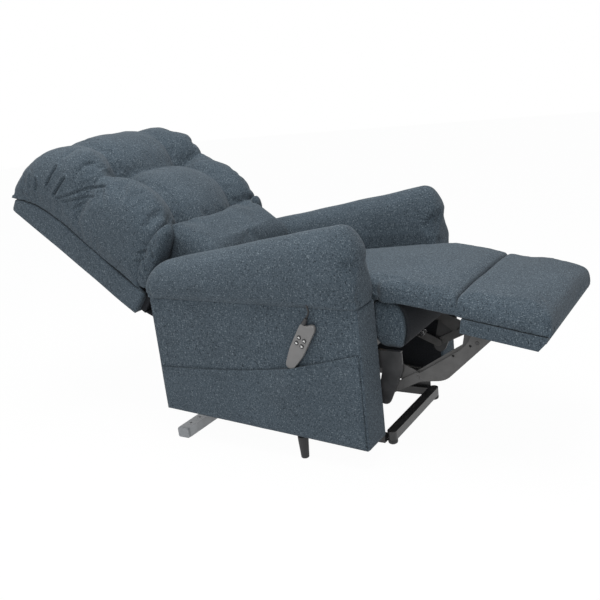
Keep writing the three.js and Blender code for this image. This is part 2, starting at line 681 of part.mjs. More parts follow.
// ---------------------------------------------------------------- side pocket, handset and its cord
function handsetOutline(grow) {
  const top = HANDSET_FRONT_TOP + grow;
  return polygon([
    [-HANDSET_FOOT_HALF - grow + 6, -HANDSET_SINK - grow],
    [HANDSET_FOOT_HALF + grow - 6, -HANDSET_SINK - grow],
    [HANDSET_FOOT_HALF + grow, -HANDSET_SINK + 6],
    [HANDSET_HALF + grow, 46],
    [HANDSET_HALF + grow, top - 12],
    [HANDSET_HALF + grow - 6, top - 2],
    [HANDSET_HALF + grow - 14, top - 3],
    [-HANDSET_HALF + 18, HANDSET_REAR_TOP + grow],
    [-HANDSET_HALF - grow + 2, HANDSET_REAR_TOP + grow],
    [-HANDSET_HALF - grow, HANDSET_REAR_TOP + grow - 4],
    [-HANDSET_HALF - grow, 46],
    [-HANDSET_FOOT_HALF - grow, -HANDSET_SINK + 6],
  ]);
}

/** The handset's own frame: upright, with its foot at the origin, then leant and set against the panel. */
const inHandset = (g) => g.rotateY(rad(HANDSET_LEAN)).translate(HANDSET_FOOT[0], 0, HANDSET_FOOT[1]);

function buildHandset(chair) {
  const inner = ARM_OUTER_Y + SEAT_GAP;
  const rows = [BUTTON_ROW_Z - BUTTON_PITCH_Z / 2, BUTTON_ROW_Z + BUTTON_PITCH_Z / 2];
  const buttons = [-BUTTON_PITCH_X / 2, BUTTON_PITCH_X / 2].flatMap((x) => rows.map((z) => [x, z]));
  const well = HANDSET_OUTER_Y - BUTTON_WELL;
  const shell = cut(
    slab(handsetOutline(0), RIGHT, inner, HANDSET_OUTER_Y),
    ...buttons.map(([x, z]) => crossRod(x, z, RIGHT, well, HANDSET_OUTER_Y + 2, BUTTON_R + 0.5)),
  );
  addPiece(chair, 'handset_case', inHandset(shell), FINISH.handset);
  buttons.forEach(([x, z], i) => {
    const [d0, d1] = [well + BUTTON_STAND - 0.3, HANDSET_OUTER_Y + BUTTON_STAND - 0.6];
    const button = crossRod(x, z, RIGHT, d0, d1, BUTTON_R);
    addPiece(chair, `handset_button_${i + 1}`, inHandset(button), FINISH.button);
  });

  const reliefX = -HANDSET_HALF + 9;
  const reliefZ = HANDSET_REAR_TOP + SEAT_GAP;
  const reliefY = (inner + HANDSET_OUTER_Y) / 2;
  const relief = turned([[0, 0], [7, 0], [7, 4], [4.6, 20], [0, 20]], 12);
  relief.translate(reliefX, -reliefY, reliefZ);
  addPiece(chair, 'handset_relief', inHandset(relief), FINISH.plastic);
  buildCord(chair, new THREE.Vector3(reliefX, -reliefY, reliefZ + 20 + SEAT_GAP));
  buildPocket(chair, inner);
}

/** The cord from the strain relief's top, a point of the handset's own frame, up to the slit. */
function buildCord(chair, reliefTop) {
  const across = new THREE.Vector3(0, 1, 0);
  const top = reliefTop.applyAxisAngle(across, rad(HANDSET_LEAN));
  top.add(new THREE.Vector3(HANDSET_FOOT[0], 0, HANDSET_FOOT[1]));
  const lean = new THREE.Vector3(0, 0, 1).applyAxisAngle(across, rad(HANDSET_LEAN));
  const start = [top, top.clone().addScaledVector(lean, 6)];
  const route = [...start, ...CORD_ROUTE.map((p) => new THREE.Vector3(...p))];
  const section = new THREE.Shape().absarc(0, 0, CORD_D / 2, 0, 2 * Math.PI, false);
  const cord = new THREE.ExtrudeGeometry(section, {
    extrudePath: new THREE.CatmullRomCurve3(route),
    steps: 12,
    bevelEnabled: false,
    curveSegments: 8,
  });
  addPiece(chair, 'handset_cord', cord, FINISH.rubber);
}

function buildPocket(chair, inner) {
  const mouthTop = [...MOUTH].reverse();
  const pouch = polygon([[8, armBottomAt(8) + 5], [716, armBottomAt(716) + 5], ...mouthTop]);
  const [bulgeX, bulgeZ] = POCKET_BULGE;
  const bulge = new THREE.SphereGeometry(1, 16, 10)
    .scale(bulgeX, PAD_OUTER_Y - ARM_OUTER_Y - SEAT_GAP, bulgeZ)
    .translate(HANDSET_FOOT[0] - 6, -ARM_OUTER_Y, HANDSET_FOOT[1] - 40);
  const outside = box(0, ARM_LENGTH, -ARM_OUTER_Y - 60, -inner, 0, 600);
  const swell = common(common(bulge, outside), slab(pouch, RIGHT, ARM_OUTER_Y, ARM_OUTER_Y + 60));
  const pocket = cut(
    join(slab(pouch, RIGHT, inner, inner + POCKET_T), swell),
    inHandset(slab(handsetOutline(1), RIGHT, inner - 2, HANDSET_OUTER_Y + 1)),
  );
  addPiece(chair, 'side_pocket', pocket, FINISH.fabric);
}

// ---------------------------------------------------------------- back
const BACK_SWING = rad(BACK_TILT);
/** A point of the chair's middle plane seen in the back's own frame. */
function inBack([x, z]) {
  const [dx, dz] = minus([x, z], BACK_CORNER);
  const [c, s] = [Math.cos(BACK_SWING), Math.sin(BACK_SWING)];
  return [dx * c - dz * s, dx * s + dz * c];
}

const backLever = (r) => [
  BACK_HINGE[0] + r * Math.sin(rad(BACK_DRIVE_LEAN)),
  BACK_HINGE[1] - r * Math.cos(rad(BACK_DRIVE_LEAN)),
];
const BACK_BAR = backLever(BACK_BAR_R);
const BACK_HORN = backLever(BACK_DRIVE_R);

/** Depth of the tufted front below its fullest level, from sewn valleys across and down the back. */
function tuftDip(up, y) {
  const across = Math.abs(Math.cos((Math.PI * y) / (2 * TUFT_Y)));
  const nearColumn = 1 - Math.min(1, Math.abs(Math.abs(y) - TUFT_Y) / (TUFT_Y * 0.8));
  const column = Math.abs(y) < 2 * TUFT_Y ? nearColumn : 0;
  const row = Math.max(0, 1 - Math.abs(up - TUFT_ROW) / 105);
  return 34 * row ** 2 * (0.55 + 0.45 * (1 - across)) + 20 * column ** 2 * (0.35 + 0.65 * row);
}

function buildBack(chair) {
  const back = tilted(chair, BACK_CORNER, BACK_TILT);
  const corner = 26;
  const plan = new THREE.Shape();
  plan.moveTo(0, -BACK_HALF);
  plan.lineTo(0, BACK_HALF);
  plan.lineTo(-BACK_LENGTH + corner, BACK_HALF);
  plan.absarc(-BACK_LENGTH + corner, BACK_HALF - corner, corner, Math.PI / 2, Math.PI, false);
  plan.absarc(-BACK_LENGTH + corner, -BACK_HALF + corner, corner, Math.PI, 1.5 * Math.PI, false);
  plan.closePath();
  addPiece(back, 'back_shell', extrude(plan, SHELL_T, 5), FINISH.fabric);

  const boardFace = SHELL_T + SEAT_GAP;
  const frame = join(
    box(-BACK_LENGTH + 30, 10, -BACK_HALF + 24, BACK_HALF - 24, boardFace, boardFace + BACK_BOARD_T),
    box(SEAT_GAP, 20, -BACK_HALF + 24, BACK_HALF - 24, 12, boardFace + BACK_BOARD_T),
  );
  addPiece(back, 'back_frame', frame, FINISH.lining);

  const bracketY = MECH_Y - SEAT_GAP - LINK_T;
  const hinge = inBack(BACK_HINGE);
  const horn = inBack(BACK_HORN);
  const bar = inBack(BACK_BAR);
  const arms = [RIGHT, LEFT].flatMap((s) => [
    link(s, bracketY, bracketY + LINK_T, [46, 50], hinge, 22, 20),
    link(s, bracketY, bracketY + LINK_T, hinge, bar, 20, 16),
    sideBox(s, 20 + SEAT_GAP, 46, bracketY, bracketY + LINK_T, 28, 72),
    sideBox(s, 20 + SEAT_GAP, 20 + SEAT_GAP + LINK_T, bracketY - 16, bracketY + LINK_T, 20, 76),
  ]);
  const yoke = cut(
    join(
      ...arms,
      crossRod(bar[0], bar[1], 1, -bracketY - 1, bracketY + 1, 11, 12),
      slab(linkShape(bar, horn, 12, 9), 1, BACK_LANE - 4, BACK_LANE + 4),
      crossRod(horn[0], horn[1], 1, BACK_LANE - 7, BACK_LANE + 7, PIN_R),
    ),
    ...[RIGHT, LEFT].map((s) => bore(s, bracketY, bracketY + LINK_T, hinge, PIN_R + PIN_CLEAR)),
  );
  addPiece(back, 'back_drive_yoke', yoke, FINISH.black);

  const cushionBottom = boardFace + BACK_BOARD_T + SEAT_GAP;
  const fullest = BACK_DEPTH + BACK_CROWN;
  const lowerFace = (x) => cushionBottom + ((fullest - cushionBottom) * (-x - 12)) / 98;
  const crownTop = BACK_LENGTH + 14;
  const lowUps = [20, 24, 34, 50, 74, 110, 150, 190, 230, 270, 300];
  const highUps = [340, 370, 410, 455, 500, 540, 575, 600, 612, crownTop - 1];
  const ups = [...lowUps, TUFT_ROW, ...highUps];
  const pillow = cushion({
    xs: ups.map((u) => -u).reverse(),
    from: -crownTop,
    to: -19,
    rFrom: 92,
    rTo: 4,
    half: (x) => BACK_HALF - 6 - 26 * Math.max(0, (-x - 540) / 80) ** 2,
    r: 62,
    bottom: () => cushionBottom,
    top: (x, y) => {
      const face = fullest - tuftDip(-x, y);
      const fullness = (face - cushionBottom) / (fullest - cushionBottom);
      return x < -110 ? face : cushionBottom + (lowerFace(x) - cushionBottom) * fullness;
    },
    mid: (x) => cushionBottom + (-x < 110 ? 6 + (110 + x) * 0.02 : 44),
    across: 15,
  });
  addPiece(back, 'back_cushion', pillow, FINISH.fabric);

  const lumbarDip = (x, y) => {
    const column = Math.max(0, 1 - Math.abs(Math.abs(y) - TUFT_Y) / 110);
    return 16 * column ** 2 * Math.max(0, 1 - (x + 100) / 160);
  };
  const lumbar = cushion({
    xs: stationsAlong(-100, LUMBAR_LOWER, 40, 60, 6),
    from: -100,
    to: LUMBAR_LOWER,
    rFrom: 40,
    rTo: 60,
    half: () => LUMBAR_HALF,
    r: 44,
    bottom: (x) => Math.max(LUMBAR_REAR_N, lowerFace(x) + 2),
    top: (x, y) => BACK_DEPTH + 10 - lumbarDip(x, y),
    mid: (x) => (x > -20 ? 215 : Math.min(285, 215 + (-20 - x) * 0.85)),
    across: 11,
  });
  addPiece(back, 'lumbar_cushion', lumbar, FINISH.fabric);
}

// ---------------------------------------------------------------- legrest
const SUPPORT_OFFSET = minus(REAR_PIVOT, FRONT_PIVOT);
const TAIL_PIVOT = plus(CROSS_PIVOT, SUPPORT_OFFSET);
const STEER = [STEER_REACH * Math.cos(rad(STEER_ANGLE)), STEER_REACH * Math.sin(rad(STEER_ANGLE))];
const STEER_PIVOT = plus(CROSS_PIVOT, STEER);
const STEER_END = plus(FOOT_PIVOT, STEER);
const LEGREST_HORN = [
  FRONT_PIVOT[0] + LEGREST_HORN_R * Math.sin(rad(LEGREST_HORN_LEAN)),
  FRONT_PIVOT[1] - LEGREST_HORN_R * Math.cos(rad(LEGREST_HORN_LEAN)),
];

function longPlate(s) {
  const d0 = LONG_Y;
  const d1 = LONG_Y + LINK_T;
  const [cx, cz] = CROSS_PIVOT;
  const [fx, fz] = FOOT_PIVOT;
  const blade = new THREE.Shape();
  blade.moveTo(cx + 4, cz + 12);
  blade.lineTo(fx - 58, fz - 31);
  blade.quadraticCurveTo(fx - 26, fz - 8, fx - 18, fz + 14);
  blade.lineTo(fx - 8, fz + 34);
  blade.lineTo(fx + 20, fz + 38);
  blade.quadraticCurveTo(fx + 44, fz + 32, fx + 42, fz + 14);
  blade.lineTo(cx + 92, cz + 9);
  blade.quadraticCurveTo(cx + 76, cz - 4, cx + 52, cz - 6);
  blade.lineTo(cx, cz - 13);
  blade.closePath();
  return cut(
    join(slab(blade, s, d0, d1), link(s, d0, d1, TAIL_PIVOT, CROSS_PIVOT, 12, 14)),
    ...[TAIL_PIVOT, CROSS_PIVOT, FOOT_PIVOT].map((p) => bore(s, d0, d1, p, PIN_R + PIN_CLEAR)),
    ...PLATE_HOLES.map((p) => bore(s, d0, d1, p, 4)),
  );
}

function buildLegrest(chair) {
  const inner = SUPPORT_Y;
  const outer = SUPPORT_Y + LINK_T;
  const through = LONG_Y + LINK_T + 0.5;
  for (const [tag, s] of SIDES) {
    const front = cut(
      join(
        link(s, inner, outer, FRONT_PIVOT, CROSS_PIVOT, 15, LINK_R),
        link(s, inner, outer, CROSS_PIVOT, STEER_PIVOT, LINK_R, 11),
        link(s, inner, outer, STEER_PIVOT, [748, 264], 11, 12),
        pin(s, outer - 1, through, CROSS_PIVOT),
      ),
      bore(s, inner, outer, FRONT_PIVOT, PIN_R + PIN_CLEAR),
      bore(s, inner, outer, STEER_PIVOT, PIN_R + PIN_CLEAR),
    );
    addPiece(chair, `front_support_link_${tag}`, front, FINISH.grey);
    const rear = cut(
      join(link(s, inner, outer, REAR_PIVOT, TAIL_PIVOT, LINK_R), pin(s, outer - 1, through, TAIL_PIVOT)),
      bore(s, inner, outer, REAR_PIVOT, PIN_R + PIN_CLEAR),
    );
    addPiece(chair, `rear_support_link_${tag}`, rear, FINISH.grey);
    addPiece(chair, `long_plate_${tag}`, longPlate(s), FINISH.grey);
    const control = join(
      link(s, STEER_Y, STEER_Y + LINK_T, STEER_PIVOT, STEER_END, 10),
      ...[STEER_PIVOT, STEER_END].map((p) => pin(s, STEER_Y + LINK_T - 1, outer + 0.5, p)),
    );
    addPiece(chair, `control_link_${tag}`, control, FINISH.grey);
  }
  const [ax, az] = FRONT_PIVOT;
  const half = SUPPORT_Y - SEAT_GAP;
  const tubeHalf = TORQUE_TUBE / 2;
  const tube = join(
    box(ax - tubeHalf, ax + tubeHalf, -half, half, az - tubeHalf, az + tubeHalf),
    slab(linkShape(FRONT_PIVOT, LEGREST_HORN, 12, 9), 1, LEGREST_LANE - 4, LEGREST_LANE + 4),
    crossRod(LEGREST_HORN[0], LEGREST_HORN[1], 1, LEGREST_LANE - 7, LEGREST_LANE + 7, PIN_R),
  );
  addPiece(chair, 'torque_tube', tube, FINISH.black);
  buildFootrest(chair);
  buildBridge(chair);
}

function buildFootrest(chair) {
  const foot = tilted(chair, FOOT_PIVOT, FOOTREST_TILT);
  const tilt = rad(FOOTREST_TILT);
  const [c, n] = [Math.cos(tilt), Math.sin(tilt)];
  const steer = [STEER[0] * c - STEER[1] * n, STEER[0] * n + STEER[1] * c];
  const boardTop = FOOT_PAD_BOTTOM - SEAT_GAP;
  const boardBottom = boardTop - FOOT_BOARD_T;
  const webShape = polygon([
    [steer[0] - 11, steer[1] - 2],
    [steer[0] - 4, steer[1] - 11],
    [steer[0] + 5, steer[1] - 10],
    [11, -8],
    [14, 4],
    [60, boardBottom - 3],
    [60, boardBottom - SEAT_GAP],
    [-38, boardBottom - SEAT_GAP],
    [-38, boardBottom - 8],
  ]);
  for (const [tag, s] of SIDES) {
    const bracket = cut(
      join(
        slab(webShape, s, SUPPORT_Y, SUPPORT_Y + LINK_T),
        sideBox(s, -38, 60, SUPPORT_Y - 18, SUPPORT_Y + LINK_T, boardBottom - 3.6, boardBottom - SEAT_GAP),
        pin(s, SUPPORT_Y + LINK_T - 1, LONG_Y + LINK_T + 0.5, [0, 0]),
      ),
      bore(s, SUPPORT_Y, SUPPORT_Y + LINK_T, steer, PIN_R + PIN_CLEAR),
    );
    addPiece(foot, `footrest_bracket_${tag}`, bracket, FINISH.black);
  }
  const half = BRIDGE_HALF - 2;
  const flank = polygon([
    [FOOT_BOARD_REAR, FOOT_RAIL_BOTTOM],
    [FOOT_BOARD_FRONT - 16, FOOT_RAIL_BOTTOM],
    [FOOT_BOARD_FRONT, boardBottom + 2],
    [FOOT_BOARD_FRONT, boardTop],
    [FOOT_BOARD_REAR, boardTop],
  ]);
  const base = join(
    box(FOOT_BOARD_REAR, FOOT_BOARD_FRONT, -half, half, boardBottom, boardTop),
    slab(flank, RIGHT, half - FOOT_RAIL_T, half),
    slab(flank, LEFT, half - FOOT_RAIL_T, half),
  );
  addPiece(foot, 'footrest_base', base, FINISH.fabric);
  const pad = cushion({
    xs: stationsAlong(FOOT_PAD_REAR, FOOT_PAD_FRONT, 18, 22, 8),
    from: FOOT_PAD_REAR,
    to: FOOT_PAD_FRONT,
    rFrom: 18,
    rTo: 22,
    half: () => BRIDGE_HALF,
    r: 24,
    bottom: () => FOOT_PAD_BOTTOM,
    top: (x, y) => FOOT_PAD_BOTTOM + FOOT_PAD_THICK + 6 * (1 - (y / BRIDGE_HALF) ** 2),
    mid: () => FOOT_PAD_BOTTOM + 14,
    across: 7,
  });
  addPiece(foot, 'footrest_pad', pad, FINISH.fabric);
}

function buildBridge(chair) {
  const bridge = tilted(chair, BRIDGE_HINGE, BRIDGE_TILT);
  const pad = cushion({
    xs: stationsAlong(0.6, BRIDGE_LENGTH, 20, 18, 5),
    from: 0.6,
    to: BRIDGE_LENGTH,
    rFrom: 20,
    rTo: 18,
    half: () => BRIDGE_HALF,
    r: 22,
    bottom: () => 1.5,
    top: (x, y) => 1.5 + BRIDGE_THICK - 6 * (x / BRIDGE_LENGTH) + 8 * (1 - (y / BRIDGE_HALF) ** 2),
    mid: () => 20,
    across: 7,
  });
  addPiece(bridge, 'bridge_pad', pad, FINISH.fabric);
}

// ---------------------------------------------------------------- the chair
const chair = new THREE.Group();
chair.name = 'lift_recliner_chair';
chair.position.x = -ORIGIN_X;
buildBase(chair);
buildLift(chair);
buildSeat(chair);
buildArms(chair);
buildHandset(chair);
buildBack(chair);
buildLegrest(chair);
const legrestDrive = { lane: LEGREST_LANE, canSide: -1, tube: 205, rodFrom: 187, jaw: 32 };
const backDrive = { lane: BACK_LANE, canSide: -1, tube: 195, rodFrom: 86, jaw: 32 };
buildActuator(chair, 'legrest', LEGREST_MOTOR_PIVOT, LEGREST_HORN, legrestDrive);
buildActuator(chair, 'back', BACK_MOTOR_PIVOT, BACK_HORN, backDrive);

export default chair;
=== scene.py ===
"""Looks of the lift recliner chair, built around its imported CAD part.

Lengths are metres in the part's own frame: +X towards the feet, +Z up, the sitter's right at -Y. Sizes that
come from the chair's drawing are measured from the rear edge of the arm panels, so each class moves its
finished points by ORIGIN_X.
"""
import json
import logging
import math
from dataclasses import dataclass
from enum import Enum
from typing import Callable, Sequence

import bpy
import numpy as np
from mathutils import Matrix


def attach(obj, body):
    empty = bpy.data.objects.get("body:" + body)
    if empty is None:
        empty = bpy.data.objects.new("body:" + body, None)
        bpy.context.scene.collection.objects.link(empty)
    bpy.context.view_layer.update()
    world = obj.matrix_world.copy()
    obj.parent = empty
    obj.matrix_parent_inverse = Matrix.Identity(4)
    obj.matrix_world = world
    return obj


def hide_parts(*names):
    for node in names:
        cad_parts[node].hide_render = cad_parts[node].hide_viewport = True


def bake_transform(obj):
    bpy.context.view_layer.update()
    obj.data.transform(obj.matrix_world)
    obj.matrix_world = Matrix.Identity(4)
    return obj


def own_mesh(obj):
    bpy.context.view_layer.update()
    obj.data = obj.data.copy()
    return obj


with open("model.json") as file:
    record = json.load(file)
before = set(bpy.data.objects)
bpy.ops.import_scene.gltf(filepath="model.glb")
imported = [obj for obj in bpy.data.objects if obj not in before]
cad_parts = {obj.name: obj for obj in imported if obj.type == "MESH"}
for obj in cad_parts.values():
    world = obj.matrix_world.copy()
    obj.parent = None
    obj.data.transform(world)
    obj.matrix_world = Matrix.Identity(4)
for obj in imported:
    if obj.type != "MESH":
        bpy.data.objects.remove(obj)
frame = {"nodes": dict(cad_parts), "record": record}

LOG = logging.getLogger("recliner")
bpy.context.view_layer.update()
ORIGIN_X = 0.2996
SIDES = (("R", -1.0), ("L", 1.0))

Array = np.ndarray
Piece = bpy.types.Object
Socket = bpy.types.NodeSocket
Material = bpy.types.Material
Colour = tuple[float, float, float]
Places = tuple[tuple[float, float], ...]
Wrinkles = tuple[tuple[float, Places], ...]
Move = Callable[[Array], Array]
Shift = Callable[[Array, Array], Array]
UP = np.array([0.0, 0.0, 1.0])


# ------------------------------------------------------------------------------------------ numeric helpers
def arc_fill(distance: Array, radius: float) -> Array:
    """Fullness of a rounded edge: a quarter circle from 0 at the edge to 1 one radius inside it.

    Args:
        distance: distance from the edge, in metres.
        radius: radius of the edge, in metres.

    Returns:
        Values from 0 to 1, of the same shape as distance.
    """
    t = np.clip(distance / radius, 0.0, 1.0)
    return np.sqrt(np.clip(1.0 - (1.0 - t) ** 2, 0.0, 1.0))


def spread(start: float, stop: float, count: int, turn_start: float, turn_stop: float) -> Array:
    """Places from start to stop, close together over the two turns where a form is rounded.

    Args:
        start: first place.
        stop: last place.
        count: number of places on the middle stretch.
        turn_start: length of the first turn.
        turn_stop: length of the last turn.

    Returns:
        Increasing places, with quarter-cosine spacing in the turns and even spacing between them.
    """
    quarter = 1.0 - np.cos(np.linspace(0.0, math.pi / 2, 8))
    middle = np.linspace(start + turn_start, stop - turn_stop, count)[1:-1]
    return np.concatenate([start + turn_start * quarter, middle, (stop - turn_stop * quarter)[::-1]])


def bump(distance: Array, width: float) -> Array:
    """Bell of height 1: the exponential of minus the square of distance over width."""
    return np.exp(-((distance / width) ** 2))


def rise(place: Array, start: float, length: float) -> Array:
    """Straight ramp from 0 at the start to 1 one length further on."""
    return np.clip((place - start) / length, 0.0, 1.0)


def groove(distance: Array, width: float) -> Array:
    """Sharp-bottomed valley of depth 1: the exponential of minus the distance over width."""
    return np.exp(-np.abs(distance) / width)


def ripple(seed: int, points: Array, scale: float) -> Array:
    """Soft seeded waves: six sines of random direction and phase, averaged.

    Args:
        seed: seed of the directions and phases.
        points: N x 3 points.
        scale: wavelength of the waves, in metres.

    Returns:
        N values between about -1 and 1.
    """
    rng = np.random.default_rng(seed)
    waves = rng.normal(size=(6, 3))
    waves *= (2 * math.pi / scale / np.linalg.norm(waves, axis=1))[:, None]
    phases = rng.uniform(0, 2 * math.pi, 6)
    return np.sin(points @ waves.T + phases).mean(axis=1) * 1.8


def turned(points: Array, origin: tuple[float, float], degrees: float) -> Array:
    """Takes points of a sub-assembly's own frame into the chair's frame.

    Args:
        points: N x 3 points, with X along the sub-assembly and Z out of it.
        origin: the frame's origin, as X and Z on the middle plane.
        degrees: pitch about +Y, nose down.

    Returns:
        N x 3 points: X and Z are rotated by the pitch and then moved by the origin.
    """
    c, s = math.cos(math.radians(degrees)), math.sin(math.radians(degrees))
    x, y, z = points[:, 0], points[:, 1], points[:, 2]
    return np.stack([origin[0] + x * c + z * s, y, origin[1] - x * s + z * c], axis=1)


def untilted(points: Array, origin: tuple[float, float], degrees: float) -> Array:
    """The inverse of turned, for points already in the chair's frame.

    Args:
        points: N x 3 points in the chair's frame.
        origin: X and Z of the turning point.
        degrees: the angle that turned would turn them by.

    Returns:
        The points turned back by that angle.
    """
    c, s = math.cos(math.radians(degrees)), math.sin(math.radians(degrees))
    x, z = points[:, 0] - origin[0], points[:, 2] - origin[1]
    return np.stack([x * c - z * s, points[:, 1], x * s + z * c], axis=1)


def to_part(points: Array) -> Array:
    """Moves points from the drawing's X zero to the part's own origin."""
    return points - np.array([ORIGIN_X, 0.0, 0.0])


def to_drawing(points: Array) -> Array:
    """Moves points from the part's own origin to the drawing's X zero."""
    return points + np.array([ORIGIN_X, 0.0, 0.0])


# ------------------------------------------------------------------------------------------ mesh helpers
def new_mesh(name: str, points: Array, faces: Sequence[Sequence[int]], smooth: bool = True) -> Piece:
    """Makes a mesh object in the scene, with its place in its mesh.

    Args:
        name: name of the piece.
        points: N x 3 points in the part's frame.
        faces: corner numbers of each face.
        smooth: whether its faces shade smoothly.

    Returns:
        The new object, at the origin.
    """
    mesh = bpy.data.meshes.new(name)
    mesh.from_pydata(points.tolist(), [], faces)
    mesh.polygons.foreach_set("use_smooth", np.full(len(mesh.polygons), smooth))
    mesh.update()
    obj = bpy.data.objects.new(name, mesh)
    bpy.context.scene.collection.objects.link(obj)
    return obj


def signed_volume(points: Array, quads: Array) -> float:
    """Volume inside a closed skin of quads: the sum of the corner triangles' triple products over six.

    Args:
        points: N x 3 corners of the skin.
        quads: K x 4 corner numbers of its faces.

    Returns:
        The volume, negative if the faces look inwards.
    """
    a, b, c, d = (points[quads[:, i]] for i in range(4))
    one = np.einsum("ij,ij->i", a, np.cross(b, c)).sum()
    two = np.einsum("ij,ij->i", a, np.cross(c, d)).sum()
    return float(one + two) / 6.0


def closed_loft(name: str, rings: Array, smooth: bool = True) -> Piece:
    """Skins rings of equal count and closes both ends with a fan to the ring's middle.

    Args:
        name: name of the piece.
        rings: R x M x 3 points, each ring once round.
        smooth: whether its faces shade smoothly.

    Returns:
        A closed mesh object whose faces point outwards.
    """
    r, m, _ = rings.shape
    points = np.concatenate([rings.reshape(-1, 3), rings[:1].mean(axis=1), rings[-1:].mean(axis=1)])
    i, j = np.meshgrid(np.arange(r - 1), np.arange(m), indexing="ij")
    a, b = i * m + j, i * m + (j + 1) % m
    quads = np.stack([a, b, b + m, a + m], axis=-1).reshape(-1, 4)
    k = np.arange(m)
    first = np.stack([np.full(m, r * m), (k + 1) % m, k], axis=1)
    last = np.stack([np.full(m, r * m + 1), (r - 1) * m + k, (r - 1) * m + (k + 1) % m], axis=1)
    if signed_volume(points, quads) < 0:
        quads, first, last = quads[:, ::-1], first[:, ::-1], last[:, ::-1]
    return new_mesh(name, points, quads.tolist() + first.tolist() + last.tolist(), smooth)


def moved_loft(name: str, rings: Array, move: Move = to_part, smooth: bool = True) -> Piece:
    """Skins rings that are given in a sub-assembly's own frame.

    Args:
        name: name of the piece.
        rings: R x M x 3 points, each ring once round.
        move: takes N x 3 points of that frame into the part's frame.
        smooth: whether its faces shade smoothly.

    Returns:
        A closed mesh object whose faces point outwards.
    """
    return closed_loft(name, move(rings.reshape(-1, 3)).reshape(rings.shape), smooth)


def coordinates(obj: Piece) -> Array:
    """The N x 3 vertex places of an object's mesh.

    Args:
        obj: the mesh object.

    Returns:
        The places, in the object's own frame.
    """
    out = np.empty(len(obj.data.vertices) * 3)
    obj.data.vertices.foreach_get("co", out)
    return out.reshape(-1, 3)


def set_coordinates(obj: Piece, points: Array) -> None:
    """Writes N x 3 vertex places into an object's mesh."""
    obj.data.vertices.foreach_set("co", points.ravel())
    obj.data.update()


def vertex_normals(obj: Piece) -> Array:
    """The N x 3 vertex normals of an object's mesh.

    Args:
        obj: the mesh object.

    Returns:
        The unit normals, in the object's own frame.
    """
    out = np.empty(len(obj.data.vertices) * 3)
    obj.data.vertex_normals.foreach_get("vector", out)
    return out.reshape(-1, 3)


def bake_modifiers(obj: Piece) -> None:
    """Replaces an object's mesh by what its modifiers make of it, and removes them.

    Args:
        obj: the mesh object, which is changed.
    """
    bpy.context.view_layer.update()
    graph = bpy.context.evaluated_depsgraph_get()
    result = bpy.data.meshes.new_from_object(obj.evaluated_get(graph))
    obj.modifiers.clear()
    obj.data = result


def press(obj: Piece, shift: Shift) -> None:
    """Moves an object's vertices along their normals.

    Args:
        obj: the piece.
        shift: gives the distance for each vertex from its drawing place and its normal.
    """
    points = coordinates(obj)
    normals = vertex_normals(obj)
    amount = shift(to_drawing(points), normals)
    set_coordinates(obj, points + normals * amount[:, None])


@dataclass(frozen=True)
class Puff:
    """How a soft piece is remeshed and blown up.

    Attributes:
        voxel: edge of the remeshed faces, in metres.
        cap: furthest that a point may move, in metres.
        pressure: cloth pressure.
        slack: share by which the cloth is larger than its form, which makes the gathers.
        stiffness: tension of the cloth.
        frames: length of the simulation.
    """

    voxel: float = 0.007
    cap: float = 0.022
    pressure: float = 4.0
    slack: float = 0.02
    stiffness: float = 15.0
    frames: int = 20

    def apply(self, obj: Piece, held: Shift | None = None) -> None:
        """Remeshes the piece, blows it up as cloth under pressure and keeps the result.

        Args:
            obj: the piece, a closed mesh.
            held: gives for each vertex how firmly stitches or the frame hold it, from 0 to 1.
        """
        remesh = obj.modifiers.new("voxels", "REMESH")
        remesh.mode = "VOXEL"
        remesh.voxel_size = self.voxel
        remesh.use_smooth_shade = True
        bake_modifiers(obj)
        start = coordinates(obj)
        cloth = obj.modifiers.new("cloth", "CLOTH")
        if held is not None:
            group = obj.vertex_groups.new(name="held")
            weights = np.clip(held(to_drawing(start), vertex_normals(obj)), 0.0, 1.0)
            for level in np.linspace(0.1, 1.0, 10):
                chosen = np.nonzero(np.abs(weights - level) <= 0.05)[0]
                group.add(chosen.tolist(), float(level), "REPLACE")
            cloth.settings.vertex_group_mass = "held"
            cloth.settings.pin_stiffness = 2.0
        settings = cloth.settings
        settings.use_pressure = True
        settings.uniform_pressure_force = self.pressure
        settings.quality = 5
        settings.mass = 0.3
        settings.tension_stiffness = self.stiffness
        settings.compression_stiffness = self.stiffness
        settings.shear_stiffness = 5.0
        settings.bending_stiffness = 0.3
        settings.shrink_min = -self.slack
        settings.effector_weights.gravity = 0.0
        cloth.collision_settings.use_collision = False
        cloth.point_cache.frame_start = 1
        cloth.point_cache.frame_end = self.frames
        scene = bpy.context.scene
        for number in range(1, self.frames + 1):
            scene.frame_set(number)
        bake_modifiers(obj)
        scene.frame_set(1)
        move = coordinates(obj) - start
        length = np.linalg.norm(move, axis=1, keepdims=True)
        set_coordinates(obj, start + move * np.minimum(1.0, self.cap / np.maximum(length, 1e-9)))
        obj.vertex_groups.clear()


def refine(obj: Piece) -> None:
    """Subdivides a puffed piece once, so that gathers and seams can be pressed into it.

    Args:
        obj: the mesh object, which is changed.
    """
    subdivision = obj.modifiers.new("smooth", "SUBSURF")
    subdivision.levels = 1
    subdivision.render_levels = 1
    bake_modifiers(obj)
    obj.data.polygons.foreach_set("use_smooth", np.full(len(obj.data.polygons), True))


